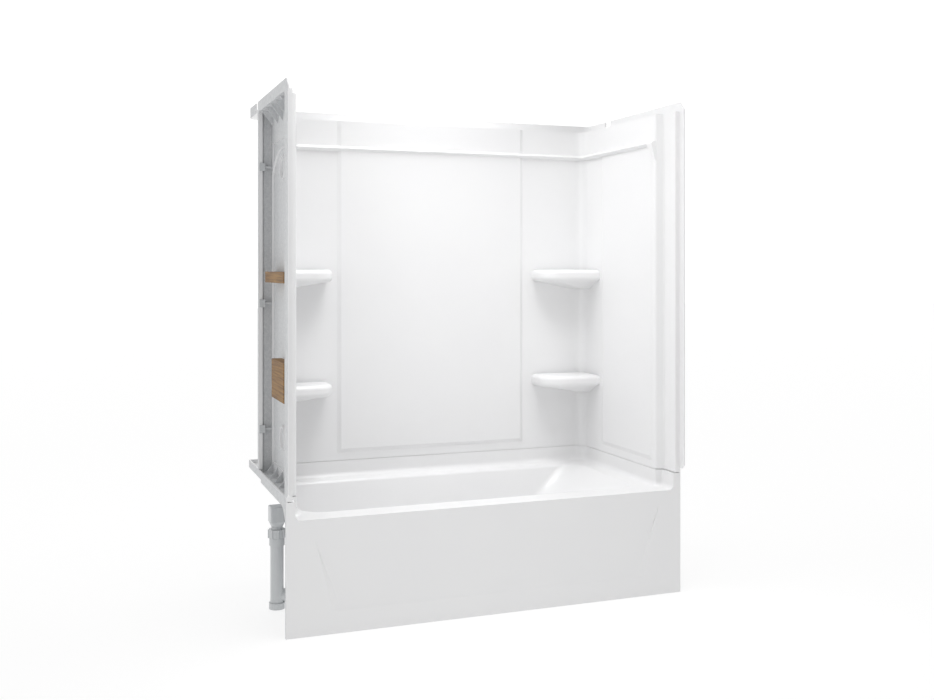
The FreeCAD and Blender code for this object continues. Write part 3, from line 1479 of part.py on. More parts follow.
def lever_bar(body, name, start, end, half, y_rear, width):
    """A straight bar of the lever between two distances from the pivot."""
    sketch = sketch_on(body, "XZ_Plane", y_rear, name)
    outline(sketch, [
        lever_point(start, -half),
        lever_point(end, -half),
        lever_point(end, half),
        lever_point(start, half),
    ])
    pad(body, sketch, width)


def make_trip_lever():
    """The lever: a handle in the basin, a hub on the pivot and a crank with its pin in the pipe."""
    body = new_body("lever_bars")
    rear = pipe_y + s["lever_width"] / 2
    arm_width = s["lever_width"] / 2 - s["yoke_thickness"] / 2 - s["side_gap"]
    half = s["lever_thickness"] / 2
    lever_bar(body, "handle", as_size(0), s["lever_reach"], half, rear, s["lever_width"])
    lever_bar(
        body, "paddle", s["lever_reach"] - s["paddle_length"], s["lever_reach"], half,
        pipe_y + s["lever_paddle"] / 2, s["lever_paddle"])
    arm_half = s["arm_height"] / 2
    lever_bar(body, "arm", -crank_length - arm_half, as_size(0), arm_half, rear, arm_width)
    pivot = (pivot_x, s["overflow_height"])
    hub = cylinder(
        "lever_hub", "Y", s["hub_turn_radius"], pipe_y - s["lever_width"] / 2, rear, pivot)
    pin = cylinder(
        "crank_pin", "Y", s["crank_pin_radius"], pipe_y - s["yoke_thickness"] / 2 - s["crank_pin_radius"],
        rear, (pin_x, pin_z))
    hole = cylinder(
        "lever_bore", "Y", s["pivot_radius"] + s["running_gap"], pipe_y - s["overrun"],
        pipe_y + s["overrun"], pivot)
    return cut("trip_lever", fuse("lever_body", [body, hub, pin]), [hole])


def make_lever_pin():
    """The pin through the plate's ears on which the lever turns."""
    reach = s["lever_width"] / 2 + s["side_gap"] + s["ear_width"]
    return cylinder(
        "lever_pin", "Y", s["pivot_radius"], pipe_y - reach, pipe_y + reach, (pivot_x, s["overflow_height"]))


def make_linkage_yoke():
    """The slotted plate that hangs on the crank's pin, with a boss for the rod."""
    half = s["yoke_thickness"] / 2
    plate = box(
        "yoke_plate", (pipe_x - s["yoke_width"] / 2, pipe_x + s["yoke_width"] / 2),
        (pipe_y - half, pipe_y + half), (yoke_low, pin_z + s["yoke_rise"]))
    boss = cylinder("yoke_boss", "Z", s["rod_nut_radius"], yoke_low, yoke_low + s["yoke_boss"], pipe_line)
    slot_centre = pipe_x + pin_drift / 2
    slot_half = pin_drift / 2 + s["crank_pin_radius"] + s["slot_gap"]
    slot_rise = s["crank_pin_radius"] + s["slot_gap"]
    slot = box(
        "yoke_slot", (slot_centre - slot_half, slot_centre + slot_half),
        (pipe_y - s["overrun"], pipe_y + s["overrun"]), (pin_z - slot_rise, pin_z + slot_rise))
    socket = cylinder(
        "yoke_socket", "Z", s["rod_radius"] + s["running_gap"], yoke_low - s["overrun"],
        yoke_low + s["yoke_boss"] - s["yoke_thickness"], pipe_line)
    return cut("linkage_yoke", fuse("yoke_body", [plate, boss]), [slot, socket])


def make_linkage_rod():
    """The rod between the yoke and the plunger's bridge."""
    return cylinder(
        "linkage_rod", "Z", s["rod_radius"], plunger_top - s["plunger_bridge"],
        yoke_low + s["yoke_boss"] - s["yoke_thickness"], pipe_line)


def make_linkage_nuts():
    """Two lock nuts: one under the yoke, one on the plunger's bridge."""
    nuts = []
    for name, low in (("upper_lock_nut", yoke_low - s["rod_nut_height"]), ("lower_lock_nut", plunger_top)):
        prism = doc.addObject("Part::Prism", name + "_hexagon")
        prism.Polygon = 6
        bind(prism, "Circumradius", s["rod_nut_radius"])
        bind(prism, "Height", s["rod_nut_height"])
        place(prism, pipe_x, pipe_y, low)
        hole = cylinder(
            name + "_hole", "Z", s["rod_radius"] + s["running_gap"], low - s["overrun"], low + s["overrun"],
            pipe_line)
        nuts.append(cut(name, prism, [hole]))
    group = doc.addObject("Part::Compound", "linkage_nuts")
    group.Links = nuts
    return group


def make_plunger():
    """The hollow plunger that closes the valve seat, with a bridge across its top for the rod."""
    bore = plunger_radius - s["plunger_wall"]
    tube = sleeve("plunger_tube", "Z", plunger_radius, bore, plunger_low, plunger_top, pipe_line)
    half = s["rod_nut_radius"]
    bridge_low = plunger_top - s["plunger_bridge"]
    bridge = box(
        "plunger_bridge", (pipe_x - bore - s["lip_gap"], pipe_x + bore + s["lip_gap"]),
        (pipe_y - half, pipe_y + half), (bridge_low, plunger_top))
    hole = cylinder(
        "plunger_rod_hole", "Z", s["rod_radius"] + s["running_gap"], bridge_low - s["overrun"],
        plunger_top + s["overrun"], pipe_line)
    return cut("plunger", fuse("plunger_body", [tube, bridge]), [hole])


# Every piece by its file name

BUILDERS = {
    "bath": make_bath,
    "back_wall": make_back_wall,
    "left_end_wall": make_left_end_wall,
    "right_end_wall": make_right_end_wall,
    "left_seam_clips": lambda: make_clips(LEFT, "left_seam_clips"),
    "right_seam_clips": lambda: make_clips(RIGHT, "right_seam_clips"),
    "left_upper_board": lambda: make_end_board(
        LEFT, "left_upper_board", s["board_high"], s["board_narrow"], s["board_long"]),
    "left_lower_board": lambda: make_end_board(
        LEFT, "left_lower_board", s["board_low"], s["board_wide"], s["board_short"]),
    "right_upper_board": lambda: make_end_board(
        RIGHT, "right_upper_board", s["board_high"], s["board_narrow"], s["board_long"]),
    "right_lower_board": lambda: make_end_board(
        RIGHT, "right_lower_board", s["board_low"], s["board_wide"], s["board_short"]),
    "back_board": make_back_board,
    "foam_support": make_foam_support,
    "outlet_collar": make_outlet_collar,
    "standpipe_tee": make_standpipe_tee,
    "overflow_adapter": make_overflow_adapter,
    "overflow_nut": make_overflow_nut,
    "overflow_seal": make_overflow_seal,
    "overflow_elbow": make_overflow_elbow,
    "overflow_gasket": make_overflow_gasket,
    "overflow_plate": make_overflow_plate,
    "plate_screws": make_plate_screws,
    "branch_nut": make_branch_nut,
    "branch_seal": make_branch_seal,
    "waste_shoe": make_waste_shoe,
    "drain_gasket": make_drain_gasket,
    "drain_flange": make_drain_flange,
    "strainer": make_strainer,
    "strainer_screw": make_strainer_screw,
    "trip_lever": make_trip_lever,
    "lever_pin": make_lever_pin,
    "linkage_yoke": make_linkage_yoke,
    "linkage_nuts": make_linkage_nuts,
    "linkage_rod": make_linkage_rod,
    "plunger": make_plunger,
}


def check_and_write():
    """Stops on any failed object, then writes each piece to its own file."""
    pieces = {}
    for name, build in BUILDERS.items():
        piece = build()
        piece.Label = name
        pieces[name] = piece
    doc.recompute()
    for thing in doc.Objects:
        if "Invalid" in thing.State or "Error" in thing.State:
            raise ValueError(f"{thing.Label} failed: {thing.State}")
    os.makedirs("parts", exist_ok=True)
    for name, piece in pieces.items():
        if piece.Shape.isNull() or not piece.Shape.isValid():
            raise ValueError(f"{name} has no valid shape")
        piece.Shape.exportStep(f"parts/{name}.step")


check_and_write()
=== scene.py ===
import math

import bmesh
import bpy
import numpy as np
from bpy.props import FloatProperty, FloatVectorProperty, PointerProperty
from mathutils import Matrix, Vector


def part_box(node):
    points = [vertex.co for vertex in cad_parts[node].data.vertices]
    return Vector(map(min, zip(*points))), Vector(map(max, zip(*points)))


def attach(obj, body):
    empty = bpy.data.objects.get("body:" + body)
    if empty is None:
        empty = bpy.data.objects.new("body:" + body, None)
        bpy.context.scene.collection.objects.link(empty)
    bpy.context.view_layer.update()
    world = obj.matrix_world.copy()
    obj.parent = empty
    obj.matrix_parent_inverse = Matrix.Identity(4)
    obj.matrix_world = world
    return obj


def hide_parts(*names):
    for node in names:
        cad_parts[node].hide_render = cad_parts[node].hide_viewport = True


bl_info = {
    "name": "Tub and shower unit",
    "version": (1, 0, 0),
    "blender": (4, 5, 0),
    "location": "3D View > Sidebar > Tub",
    "description": "Dresses the packed tub and shower unit and sets up its studio",
    "category": "Object",
}

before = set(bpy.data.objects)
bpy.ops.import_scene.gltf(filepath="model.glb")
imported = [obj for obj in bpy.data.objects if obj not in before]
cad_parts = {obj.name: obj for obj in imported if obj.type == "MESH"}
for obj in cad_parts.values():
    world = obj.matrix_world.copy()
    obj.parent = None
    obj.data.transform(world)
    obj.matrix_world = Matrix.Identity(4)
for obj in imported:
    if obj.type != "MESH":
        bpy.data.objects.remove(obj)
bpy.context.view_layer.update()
MM = 0.001
LEFT = -1
RIGHT = 1

# Points closer than this are one point, and faces that turn by less than this are one face
WELD = 0.01 * MM
FLAT_ANGLE = math.radians(0.3)

# Edges that turn by more than this are edges to the eye. The bath's is larger, because
# its apron's recess has a twisted border
EDGE_ANGLE = math.radians(16)
BATH_EDGE_ANGLE = math.radians(27)

# Points in a quarter circle, and sections along a rounded bar between its ends
CORNER_POINTS = 5
BAR_SECTIONS = 33

# A Mix node has a set of sockets for each kind of value, with the same names, so the
# share, the two colours and the colour that comes out are told by their numbers
MIX_SHARE = 0
MIX_FIRST = 6
MIX_SECOND = 7
MIX_COLOUR = 2


# Colours, nodes and lengths

def linear(hex_colour):
    """The linear RGBA of an sRGB colour that is written as six hex digits."""
    shares = [int(hex_colour[i:i + 2], 16) / 255 for i in (0, 2, 4)]
    return tuple(s / 12.92 if s < 0.04045 else ((s + 0.055) / 1.055) ** 2.4 for s in shares) + (1.0,)


def node(tree, kind, inputs=None, **settings):
    """Adds a shader node. inputs holds, by name or number, a fixed value or the socket to link."""
    made = tree.nodes.new("ShaderNode" + kind)
    for name, value in settings.items():
        setattr(made, name, value)
    for key, value in (inputs or {}).items():
        if isinstance(value, bpy.types.NodeSocket):
            tree.links.new(value, made.inputs[key])
        else:
            made.inputs[key].default_value = value
    return made


def noise(tree, place, width, detail):
    """Smooth noise from 0 to 1 over the given coordinates, with waves of about that width."""
    made = node(tree, "TexNoise", {"Vector": place, "Scale": 1 / width, "Detail": detail})
    return made.outputs["Fac"]


def blend(tree, share, first, second):
    """The colour that goes from the first to the second as the share goes from 0 to 1."""
    mix = node(tree, "Mix", {MIX_SHARE: share, MIX_FIRST: first, MIX_SECOND: second},
               data_type="RGBA")
    return mix.outputs[MIX_COLOUR]


def colour_property(name, description, hex_colour):
    """A colour that a user can change, with its sRGB hex value as default."""
    return FloatVectorProperty(name=name, description=description, subtype="COLOR", size=4,
                               min=0.0, max=1.0, default=linear(hex_colour))


def length_property(name, description, millimetres):
    """A length that a user can change, given in millimetres and kept in metres."""
    return FloatProperty(name=name, description=description, subtype="DISTANCE", unit="LENGTH",
                         min=0.0, default=millimetres * MM)


def share_property(name, description, value):
    """A share from 0 to 1 that a user can change."""
    return FloatProperty(name=name, description=description, subtype="FACTOR",
                         min=0.0, max=1.0, default=value)


def strength_property(name, description, value):
    """A brightness or a power that a user can change."""
    return FloatProperty(name=name, description=description, min=0.0, default=value)


# What a user can change

class TubMouldingLook(bpy.types.PropertyGroup):
    """Looks of the bath and the three wall mouldings."""
    face: colour_property("Face", "Polished mould face", "F1F1F1")
    face_cloud: colour_property("Face cloud", "Slightly deeper white that clouds the face", "EEEEEF")
    face_roughness: share_property("Face roughness", "Roughness of the polished face", 0.28)
    ripple_size: length_property("Ripple size", "Width of the waves on the face", 9)
    ripple_depth: length_property("Ripple depth", "Height of the waves on the face", 0.02)
    back: colour_property("Back", "Raw back of the mouldings", "DCDDDE")
    back_fibre: colour_property("Back fibres", "Glass bundles that show on the back", "C6C8CA")
    back_roughness: share_property("Back roughness", "Roughness of the raw back", 0.55)
    fibre_width: length_property("Fibre width", "Width of a glass bundle", 4)
    fibre_depth: length_property("Fibre depth", "How far a bundle stands out", 0.15)
    edge_round: length_property("Edge rounding", "Radius on the mouldings' edges", 1.2)


class TubTimberLook(bpy.types.PropertyGroup):
    """Looks of the backing boards."""
    pale: colour_property("Early wood", "Pale wood between the rings", "A0783B")
    dark: colour_property("Late wood", "Dark wood of the rings", "734F1F")
    ring_gap: length_property("Ring gap", "Distance between rings on the board's face", 7)
    edge_round: length_property("Edge rounding", "Eased edge of a planed board", 2)


class TubFoamLook(bpy.types.PropertyGroup):
    """Looks of the foam block under the basin."""
    skin: colour_property("Skin", "Cut face of the foam", "D9DBDB")
    # Painted shade in the gaps between beads, laid over the beads' real outlines
    cell: colour_property("Cell walls", "Shade between the beads", "BFC2C4")
    bead: length_property("Bead size", "Width of a bead in the foam", 5)
    edge_round: length_property("Edge rounding", "Crushed corners of the block", 9)


class TubFittingLook(bpy.types.PropertyGroup):
    """Looks of the waste pipe, its seals and its metal parts."""
    pipe: colour_property("Pipe", "Moulded pipe fittings", "D2D4D5")
    pipe_shade: colour_property("Pipe shade", "Slightly darker streaks in the pipe", "C7CACC")
    rubber: colour_property("Rubber", "Seals and gaskets", "26282A")
    chrome: colour_property("Chrome", "Plated trim", "D7D9DB")
    brass: colour_property("Brass", "Linkage and plunger", "C9A45C")
    clip: colour_property("Clip", "Seam clips", "D0D2D3")
    edge_round: length_property("Edge rounding", "Radius on the fittings' edges", 0.5)


class TubStudioLook(bpy.types.PropertyGroup):
    """Floor, surroundings and lights."""
    floor_side: length_property("Floor side", "Side of the square floor", 60000)
    backdrop: strength_property("Backdrop", "Brightness behind the unit near eye level", 1.15)
    room: strength_property("Room", "Brightness before the unit near eye level", 0.25)
    ceiling: strength_property("Ceiling", "Brightness of the studio overhead", 0.77)
    floor_glow: strength_property("Floor glow", "Light that comes up through the floor", 0.73)
    near_power: strength_property("Near power", "Power of the soft box before the opening", 2.1)
    top_power: strength_property("Top power", "Power of the soft box over the basin", 7.8)
    side_power: strength_property("Side power", "Power of the tall soft box at the left", 1.2)


# Meshes

def add_object(name, mesh, body, replaced):
    """Links a finished mesh as a piece that rides on a body and stands for CAD nodes."""
    piece = bpy.data.objects.new(name, mesh)
    bpy.context.scene.collection.objects.link(piece)
    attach(piece, body)
    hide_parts(*replaced)
    return piece


def merged_copy(node_name, mesh_name, edge_angle=EDGE_ANGLE):
    """A copy of a CAD node's mesh with its loose triangles welded and flat faces joined up.

    Edges that turn by more than edge_angle stay sharp.
    """
    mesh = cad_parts[node_name].data.copy()
    mesh.name = mesh_name
    mesh.materials.clear()
    work = bmesh.new()
    work.from_mesh(mesh)
    bmesh.ops.remove_doubles(work, verts=work.verts, dist=WELD)
    bmesh.ops.dissolve_limit(work, angle_limit=FLAT_ANGLE, verts=work.verts, edges=work.edges)
    work.to_mesh(mesh)
    work.free()
    if "custom_normal" in mesh.attributes:
        mesh.attributes.remove(mesh.attributes["custom_normal"])
    mesh.shade_smooth()
    mesh.set_sharp_from_angle(angle=edge_angle)
    return mesh


def round_edges(piece, radius, edge_angle=EDGE_ANGLE):
    """Rounds the edges of a piece that turn by more than edge_angle, in two steps."""
    bevel = piece.modifiers.new("eased_edges", "BEVEL")
    bevel.width = radius
    bevel.segments = 2
    bevel.limit_method = "ANGLE"
    bevel.angle_limit = edge_angle
    bevel.use_clamp_overlap = True
    bevel.harden_normals = True
    even = piece.modifiers.new("flat_faces_first", "WEIGHTED_NORMAL")
    even.weight = 100
    even.keep_sharp = True


def face_rows(mesh):
    """The centres and the normals of a mesh's faces, one row for each face."""
    centres = np.empty(len(mesh.polygons) * 3)
    normals = np.empty(len(mesh.polygons) * 3)
    mesh.polygons.foreach_get("center", centres)
    mesh.polygons.foreach_get("normal", normals)
    return centres.reshape(-1, 3), normals.reshape(-1, 3)


def paint_faces(mesh, materials, chosen):
    """Gives every face the first material, and the chosen ones the second."""
    for material in materials:
        mesh.materials.append(material)
    mesh.polygons.foreach_set("material_index", chosen.astype(np.int32))


def grid_mesh(name, points):
    """A closed tube mesh from a grid of points, rings by stations, with its ends capped.

    Ring i and ring i + 1 are joined by one quad for each station, and each end ring
    is filled by one face.
    """
    rings, stations = points.shape[:2]
    ring, station = np.meshgrid(np.arange(rings - 1), np.arange(stations), indexing="ij")
    after = (station + 1) % stations
    corners = (ring * stations + station, ring * stations + after,
               (ring + 1) * stations + after, (ring + 1) * stations + station)
    faces = np.stack(corners, axis=-1).reshape(-1, 4).tolist()
    faces.append(list(range(stations))[::-1])
    faces.append(list(range((rings - 1) * stations, rings * stations)))
    mesh = bpy.data.meshes.new(name)
    mesh.from_pydata(points.reshape(-1, 3), [], faces)
    mesh.update()
    return mesh


# Materials

def new_material(name, **surface):
    """A material with one Principled shader, whose fixed sockets are given by name."""
    material = bpy.data.materials.new(name)
    material.use_nodes = True
    tree = material.node_tree
    tree.nodes.clear()
    sockets = {socket.replace("_", " "): value for socket, value in surface.items()}
    shader = node(tree, "BsdfPrincipled", sockets)
    node(tree, "OutputMaterial", {"Surface": shader.outputs["BSDF"]})
    return material, tree, shader


def dress(tree, shader, colour, height, depth):
    """Links a colour to the shader, and a height pattern as relief of that depth in metres."""
    tree.links.new(colour, shader.inputs["Base Color"])
    relief = node(tree, "Bump", {"Height": height, "Strength": 1.0, "Distance": depth})
    tree.links.new(relief.outputs["Normal"], shader.inputs["Normal"])


def gloss_composite(look):
    """Compression-moulded glass-filled polyester, polished mould face.

    The eye sees an even white with soft reflections, and the faint ripple and the
    barely clouded white that a moulded composite has.
    """
    material, tree, shader = new_material("gloss_white_composite", IOR=1.52,
                                          Roughness=look.face_roughness)
    place = node(tree, "TexCoord").outputs["Object"]
    cloud = noise(tree, place, 240 * MM, detail=2.0)
    white = blend(tree, cloud, look.face, look.face_cloud)
    ripple = noise(tree, place, look.ripple_size, detail=1.0)
    dress(tree, shader, white, ripple, look.ripple_depth)
    return material


def raw_composite(look):
    """The same composite on its raw back, as it leaves the press.

    The eye sees a dull grey-white where short glass bundles lie every way under the skin.
    """
    material, tree, shader = new_material("raw_fibre_composite", IOR=1.52,
                                          Roughness=look.back_roughness)
    place = node(tree, "TexCoord").outputs["Object"]
    bend = node(tree, "TexNoise", {"Vector": place, "Scale": 1 / (20 * MM), "Detail": 1.0})
    bent = node(tree, "MixRGB", {"Fac": 0.02, "Color1": place, "Color2": bend.outputs["Color"]})
    fibre = node(tree, "TexVoronoi", {"Vector": bent.outputs["Color"], "Scale": 1 / look.fibre_width},
                 feature="DISTANCE_TO_EDGE")
    cloud = noise(tree, place, 3 * look.fibre_width, detail=3.0)
    mixed = node(tree, "Math", {0: fibre.outputs["Distance"], 1: cloud}, operation="ADD")
    share = node(tree, "MapRange", {"Value": mixed.outputs["Value"], "From Min": 0.35,
                                    "From Max": 0.95}).outputs["Result"]
    grey = blend(tree, share, look.back_fibre, look.back)
    dress(tree, shader, grey, share, look.fibre_depth)
    return material


def planed_pine(look, along):
    """Planed softwood, sawn along the trunk.

    The eye sees straight tan and brown rings that run the length of the board, a little
    wavy, with fine dark pores drawn out along them. along is the axis of the length.
    """
    material, tree, shader = new_material("planed_pine_" + along, IOR=1.5, Roughness=0.6)
    place = node(tree, "TexCoord").outputs["Object"]
    stretch = (0.04, 1.0, 1.0) if along == "x" else (1.0, 0.04, 1.0)
    grain_place = node(tree, "Mapping", {"Vector": place, "Scale": stretch}).outputs["Vector"]
    rings = node(tree, "TexNoise", {"Vector": grain_place, "Scale": 1 / look.ring_gap, "Detail": 3.0,
                                    "Roughness": 0.55})
    pores = noise(tree, grain_place, look.ring_gap / 5, detail=2.0)
    share = node(tree, "MapRange", {"Value": rings.outputs["Fac"], "From Min": 0.35, "From Max": 0.68})
    fine = node(tree, "MapRange", {"Value": pores, "From Min": 0.3, "From Max": 0.9, "To Max": 0.5})
    both = node(tree, "Math", {0: share.outputs["Result"], 1: fine.outputs["Result"]}, operation="ADD",
                use_clamp=True).outputs["Value"]
    dress(tree, shader, blend(tree, both, look.pale, look.dark), both, 0.2 * MM)
    return material


def bead_foam(look):
    """Expanded bead foam, cut with a hot wire.

    The eye sees a dull pale block of pressed-together beads with a fine dark line
    round each one: the bead's real outline, darkened with painted shade in the gap between beads.
    """
    material, tree, shader = new_material("cut_bead_foam", IOR=1.3, Roughness=0.85)
    place = node(tree, "TexCoord").outputs["Object"]
    bead = node(tree, "TexVoronoi", {"Vector": place, "Scale": 1 / look.bead}, feature="DISTANCE_TO_EDGE")
    # Darker towards each bead's edge: painted shade in the gaps between beads
    share = node(tree, "MapRange", {"Value": bead.outputs["Distance"],
                                    "From Max": 0.12}).outputs["Result"]
    dress(tree, shader, blend(tree, share, look.cell, look.skin), share, 0.3 * MM)
    return material


def moulded_pipe(look):
    """Injection-moulded PVC pipe fittings.

    The eye sees a satin light grey with a broad soft highlight and faint flow streaks.
    """
    material, tree, shader = new_material("moulded_grey_pvc", IOR=1.54, Roughness=0.32)
    place = node(tree, "TexCoord").outputs["Object"]
    drawn = node(tree, "Mapping", {"Vector": place, "Scale": (1.0, 1.0, 0.2)}).outputs["Vector"]
    streak = noise(tree, drawn, 8 * MM, detail=3.0)
    dress(tree, shader, blend(tree, streak, look.pipe, look.pipe_shade), streak, 0.05 * MM)
    return material


def seal_rubber(look):
    """Moulded rubber seals, with a dusting of talc.

    The eye sees a dull near-black that is a little greyer in patches.
    """
    material, tree, shader = new_material("moulded_black_rubber", IOR=1.52, Roughness=0.7)
    place = node(tree, "TexCoord").outputs["Object"]
    talc = noise(tree, place, 6 * MM, detail=4.0)
    dress(tree, shader, blend(tree, talc, look.rubber, linear("3A3C3E")), talc, 0.05 * MM)
    return material


def polished_chrome(look):
    """Brass pressings with a polished chromium plate.

    The eye sees a bright neutral mirror, very slightly uneven from the polishing wheel.
    """
    material, tree, shader = new_material("polished_chrome_plate", Metallic=1.0, Roughness=0.08)
    place = node(tree, "TexCoord").outputs["Object"]
    wave = noise(tree, place, 12 * MM, detail=1.0)
    dress(tree, shader, blend(tree, wave, look.chrome, linear("C9CCCF")), wave, 0.01 * MM)
    return material


def turned_brass(look):
    """Brass bar, turned and left bare.

    The eye sees warm yellow metal with fine rings from the lathe round its upright axis.
    """
    material, tree, shader = new_material("turned_brass", Metallic=1.0, Roughness=0.3)
    place = node(tree, "TexCoord").outputs["Object"]
    squeezed = node(tree, "Mapping", {"Vector": place, "Scale": (0.05, 0.05, 1.0)}).outputs["Vector"]
    rings = noise(tree, squeezed, 0.8 * MM, detail=1.0)
    dress(tree, shader, blend(tree, rings, look.brass, linear("B58E49")), rings, 0.02 * MM)
    return material


def moulded_clip(look):
    """Injection-moulded nylon clips.

    The eye sees a dull off-white grey with the fine grain of a spark-eroded mould.
    """
    material, tree, shader = new_material("moulded_nylon_clip", IOR=1.53, Roughness=0.5)
    place = node(tree, "TexCoord").outputs["Object"]
    grain = noise(tree, place, 1.2 * MM, detail=2.0)
    dress(tree, shader, blend(tree, grain, look.clip, linear("C2C5C7")), grain, 0.04 * MM)
    return material


def opal_floor(studio):
    """Opal acrylic sheet, lit from below.

    The eye sees an even white floor that shows only a breath of shadow under the unit.
    """
    material, tree, shader = new_material("lit_opal_acrylic", Roughness=0.9,
                                          Emission_Color=(1.0, 1.0, 1.0, 1.0),
                                          Emission_Strength=studio.floor_glow)
    place = node(tree, "TexCoord").outputs["Object"]
    tooth = noise(tree, place, 3 * MM, detail=2.0)
    dress(tree, shader, blend(tree, tooth, linear("989898"), linear("949494")), tooth, 0.02 * MM)
    return material


# Which faces of a moulding are raw

# The front skin lies before the first of these places in y, and the step beside the
# front column before the second. The raw space of an end wall lies past the third in x
FRONT_SKIN = -0.353
STEP_SKIN = -0.268
RAW_SIDE = 0.712

# A face looks toward an axis when its normal's share along it is more than this
TOWARD = 0.3

# Where the bather's eye would be, over the bath and between the walls, and how far past
# the second of these points the plane of a raw face of the back wall lies at least
OVER_BATH = np.array([0.0, 0.0, 1.0])
BETWEEN_WALLS = np.array([0.0, -0.2])
PAST_EYE = 0.02


def front_faces(centres, normals):
    """Faces in the unit's front skin that don't look to the rear."""
    return (centres[:, 1] < FRONT_SKIN) & (normals[:, 1] < TOWARD)


def bath_back_faces(centres, normals):
    """Faces of the bath that look away from a point one metre over the middle of the floor."""
    away = np.einsum("ij,ij->i", centres - OVER_BATH, normals) > 0
    behind_apron = (centres[:, 1] < FRONT_SKIN) & (normals[:, 1] > TOWARD)
    return (away & ~front_faces(centres, normals)) | behind_apron


def end_wall_back_faces(side):
    """A test for the faces of an end wall that look outward or lie behind its panel."""
    def test(centres, normals):
        outward = normals[:, 0] * side > TOWARD
        step = (centres[:, 1] < STEP_SKIN) & (normals[:, 1] < -TOWARD)
        behind = (centres[:, 0] * side > RAW_SIDE) & (normals[:, 0] * side > -TOWARD) & ~step
        return (outward | behind) & ~front_faces(centres, normals)
    return test


def back_wall_back_faces(centres, normals):
    """Faces of the back wall that look away from the bathing space."""
    return np.einsum("ij,ij->i", centres[:, :2] - BETWEEN_WALLS, normals[:, :2]) > PAST_EYE


# Pieces

def add_moulding(node_name, back_faces, edge_angle, look, finished, raw):
    """A moulding as a welded copy of its CAD node with eased edges and a raw back."""
    mesh = merged_copy(node_name, node_name + "_moulding", edge_angle)
    paint_faces(mesh, (finished, raw), back_faces(*face_rows(mesh)))
    piece = add_object(node_name + "_moulding", mesh, "unit", [node_name])
    round_edges(piece, look.edge_round, edge_angle)


def add_fitting(node_name, body, material, radius):
    """A fitting as a welded copy of its CAD node with eased edges."""
    mesh = merged_copy(node_name, node_name + "_fitting")
    mesh.materials.append(material)
    piece = add_object(node_name + "_fitting", mesh, body, [node_name])
    round_edges(piece, radius)


def rounded_section(half_width, half_height, radius):
    """Points round a rectangle with round corners, anticlockwise.

    Each corner is a quarter circle of the radius about a point one radius in from the
    rectangle's corner.
    """
    turn = np.linspace(0, math.pi / 2, CORNER_POINTS)
    starts = np.arange(4)[:, None] * math.pi / 2
    angle = starts + turn[None, :]
    centre_x = np.array([1, -1, -1, 1])[:, None] * (half_width - radius)
    centre_y = np.array([1, 1, -1, -1])[:, None] * (half_height - radius)
    across = centre_x + radius * np.cos(angle)
    up = centre_y + radius * np.sin(angle)
    return np.stack([across.ravel(), up.ravel()], axis=-1)


def rounded_bar(name, low, high, along, radius):
    """A bar between two corners with every edge rounded, as a section carried along it.

    The stations run the length. Within one radius of an end, and d into that zone, the
    section is drawn in by radius minus root(radius squared minus d squared).
    """
    low, high = np.array(low), np.array(high)
    length_axis = "xyz".index(along)
    side_axes = ((length_axis + 1) % 3, (length_axis + 2) % 3)
    half = (high - low) / 2
    middle = (high + low) / 2
    quarter = np.linspace(0, math.pi / 2, CORNER_POINTS)
    start = -half[length_axis] + radius * (1 - np.cos(quarter))
    inset_start = radius * (1 - np.sin(quarter))
    run = np.linspace(start[-1], -start[-1], BAR_SECTIONS)[1:-1]
    stations = np.concatenate([start, run, -start[::-1]])
    inset = np.concatenate([inset_start, np.zeros(len(run)), inset_start[::-1]])
    section = rounded_section(half[side_axes[0]], half[side_axes[1]], radius)
    scale_a = (half[side_axes[0]] - inset) / half[side_axes[0]]
    scale_b = (half[side_axes[1]] - inset) / half[side_axes[1]]
    points = np.empty((len(stations), len(section), 3))
    points[..., length_axis] = stations[:, None]
    points[..., side_axes[0]] = section[None, :, 0] * scale_a[:, None]
    points[..., side_axes[1]] = section[None, :, 1] * scale_b[:, None]
    return grid_mesh(name, points + middle)


def add_bar(name, node_name, along, material, radius):
    """A bar with rounded edges in the box of a CAD node."""
    low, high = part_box(node_name)
    mesh = rounded_bar(name, low, high, along, radius)
    mesh.materials.append(material)
    mesh.shade_smooth()
    mesh.set_sharp_from_angle(angle=EDGE_ANGLE)
    return add_object(name, mesh, "unit", [node_name])


# Operators

# Each soft box's name, its place, what it faces, its sides and its spread in degrees
SOFT_BOXES = (
    ("near_soft_box", (0.0, -0.9, 2.7), (0.0, 0.25, 0.4), (1.4, 0.5), 70),
    ("top_soft_box", (-0.1, -0.03, 2.6), (0.0, -0.03, 0.0), (1.3, 0.5), 120),
    ("side_soft_box", (-1.9, -2.2, 1.5), (0.65, 0.3, 1.2), (0.7, 2.4), 50),
)

# The photograph's width, the camera's focal length, half the picture's sides and the
# point where the optical axis meets the picture, all in pixels, then the camera's place
# in metres and how far it turns to the right in degrees
PHOTO_WIDTH = 934
FOCAL_LENGTH = 1064.57
HALF_FRAME = (467, 350)
OPTICAL_CENTRE = (460.52, 269.48)
CAMERA_PLACE = (-1.4558, -3.9044, 1.2381)
CAMERA_TURN = 20.4


class TUB_OT_mouldings(bpy.types.Operator):
    """Dresses the bath and the three wall mouldings"""
    bl_idname = "tub.mouldings"
    bl_label = "Bath and walls"

    def execute(self, context):
        look = context.scene.tub_moulding
        finished = gloss_composite(look)
        raw = raw_composite(look)
        rows = (
            ("bath", "bath_white", bath_back_faces, BATH_EDGE_ANGLE),
            ("back_wall", "wall_white", back_wall_back_faces, EDGE_ANGLE),
            ("left_end_wall", "wall_white", end_wall_back_faces(LEFT), EDGE_ANGLE),
            ("right_end_wall", "wall_white", end_wall_back_faces(RIGHT), EDGE_ANGLE),
        )
        for node_name, slot, back_faces, edge_angle in rows:
            add_moulding(node_name, back_faces, edge_angle, look, finished, raw)
        return {"FINISHED"}


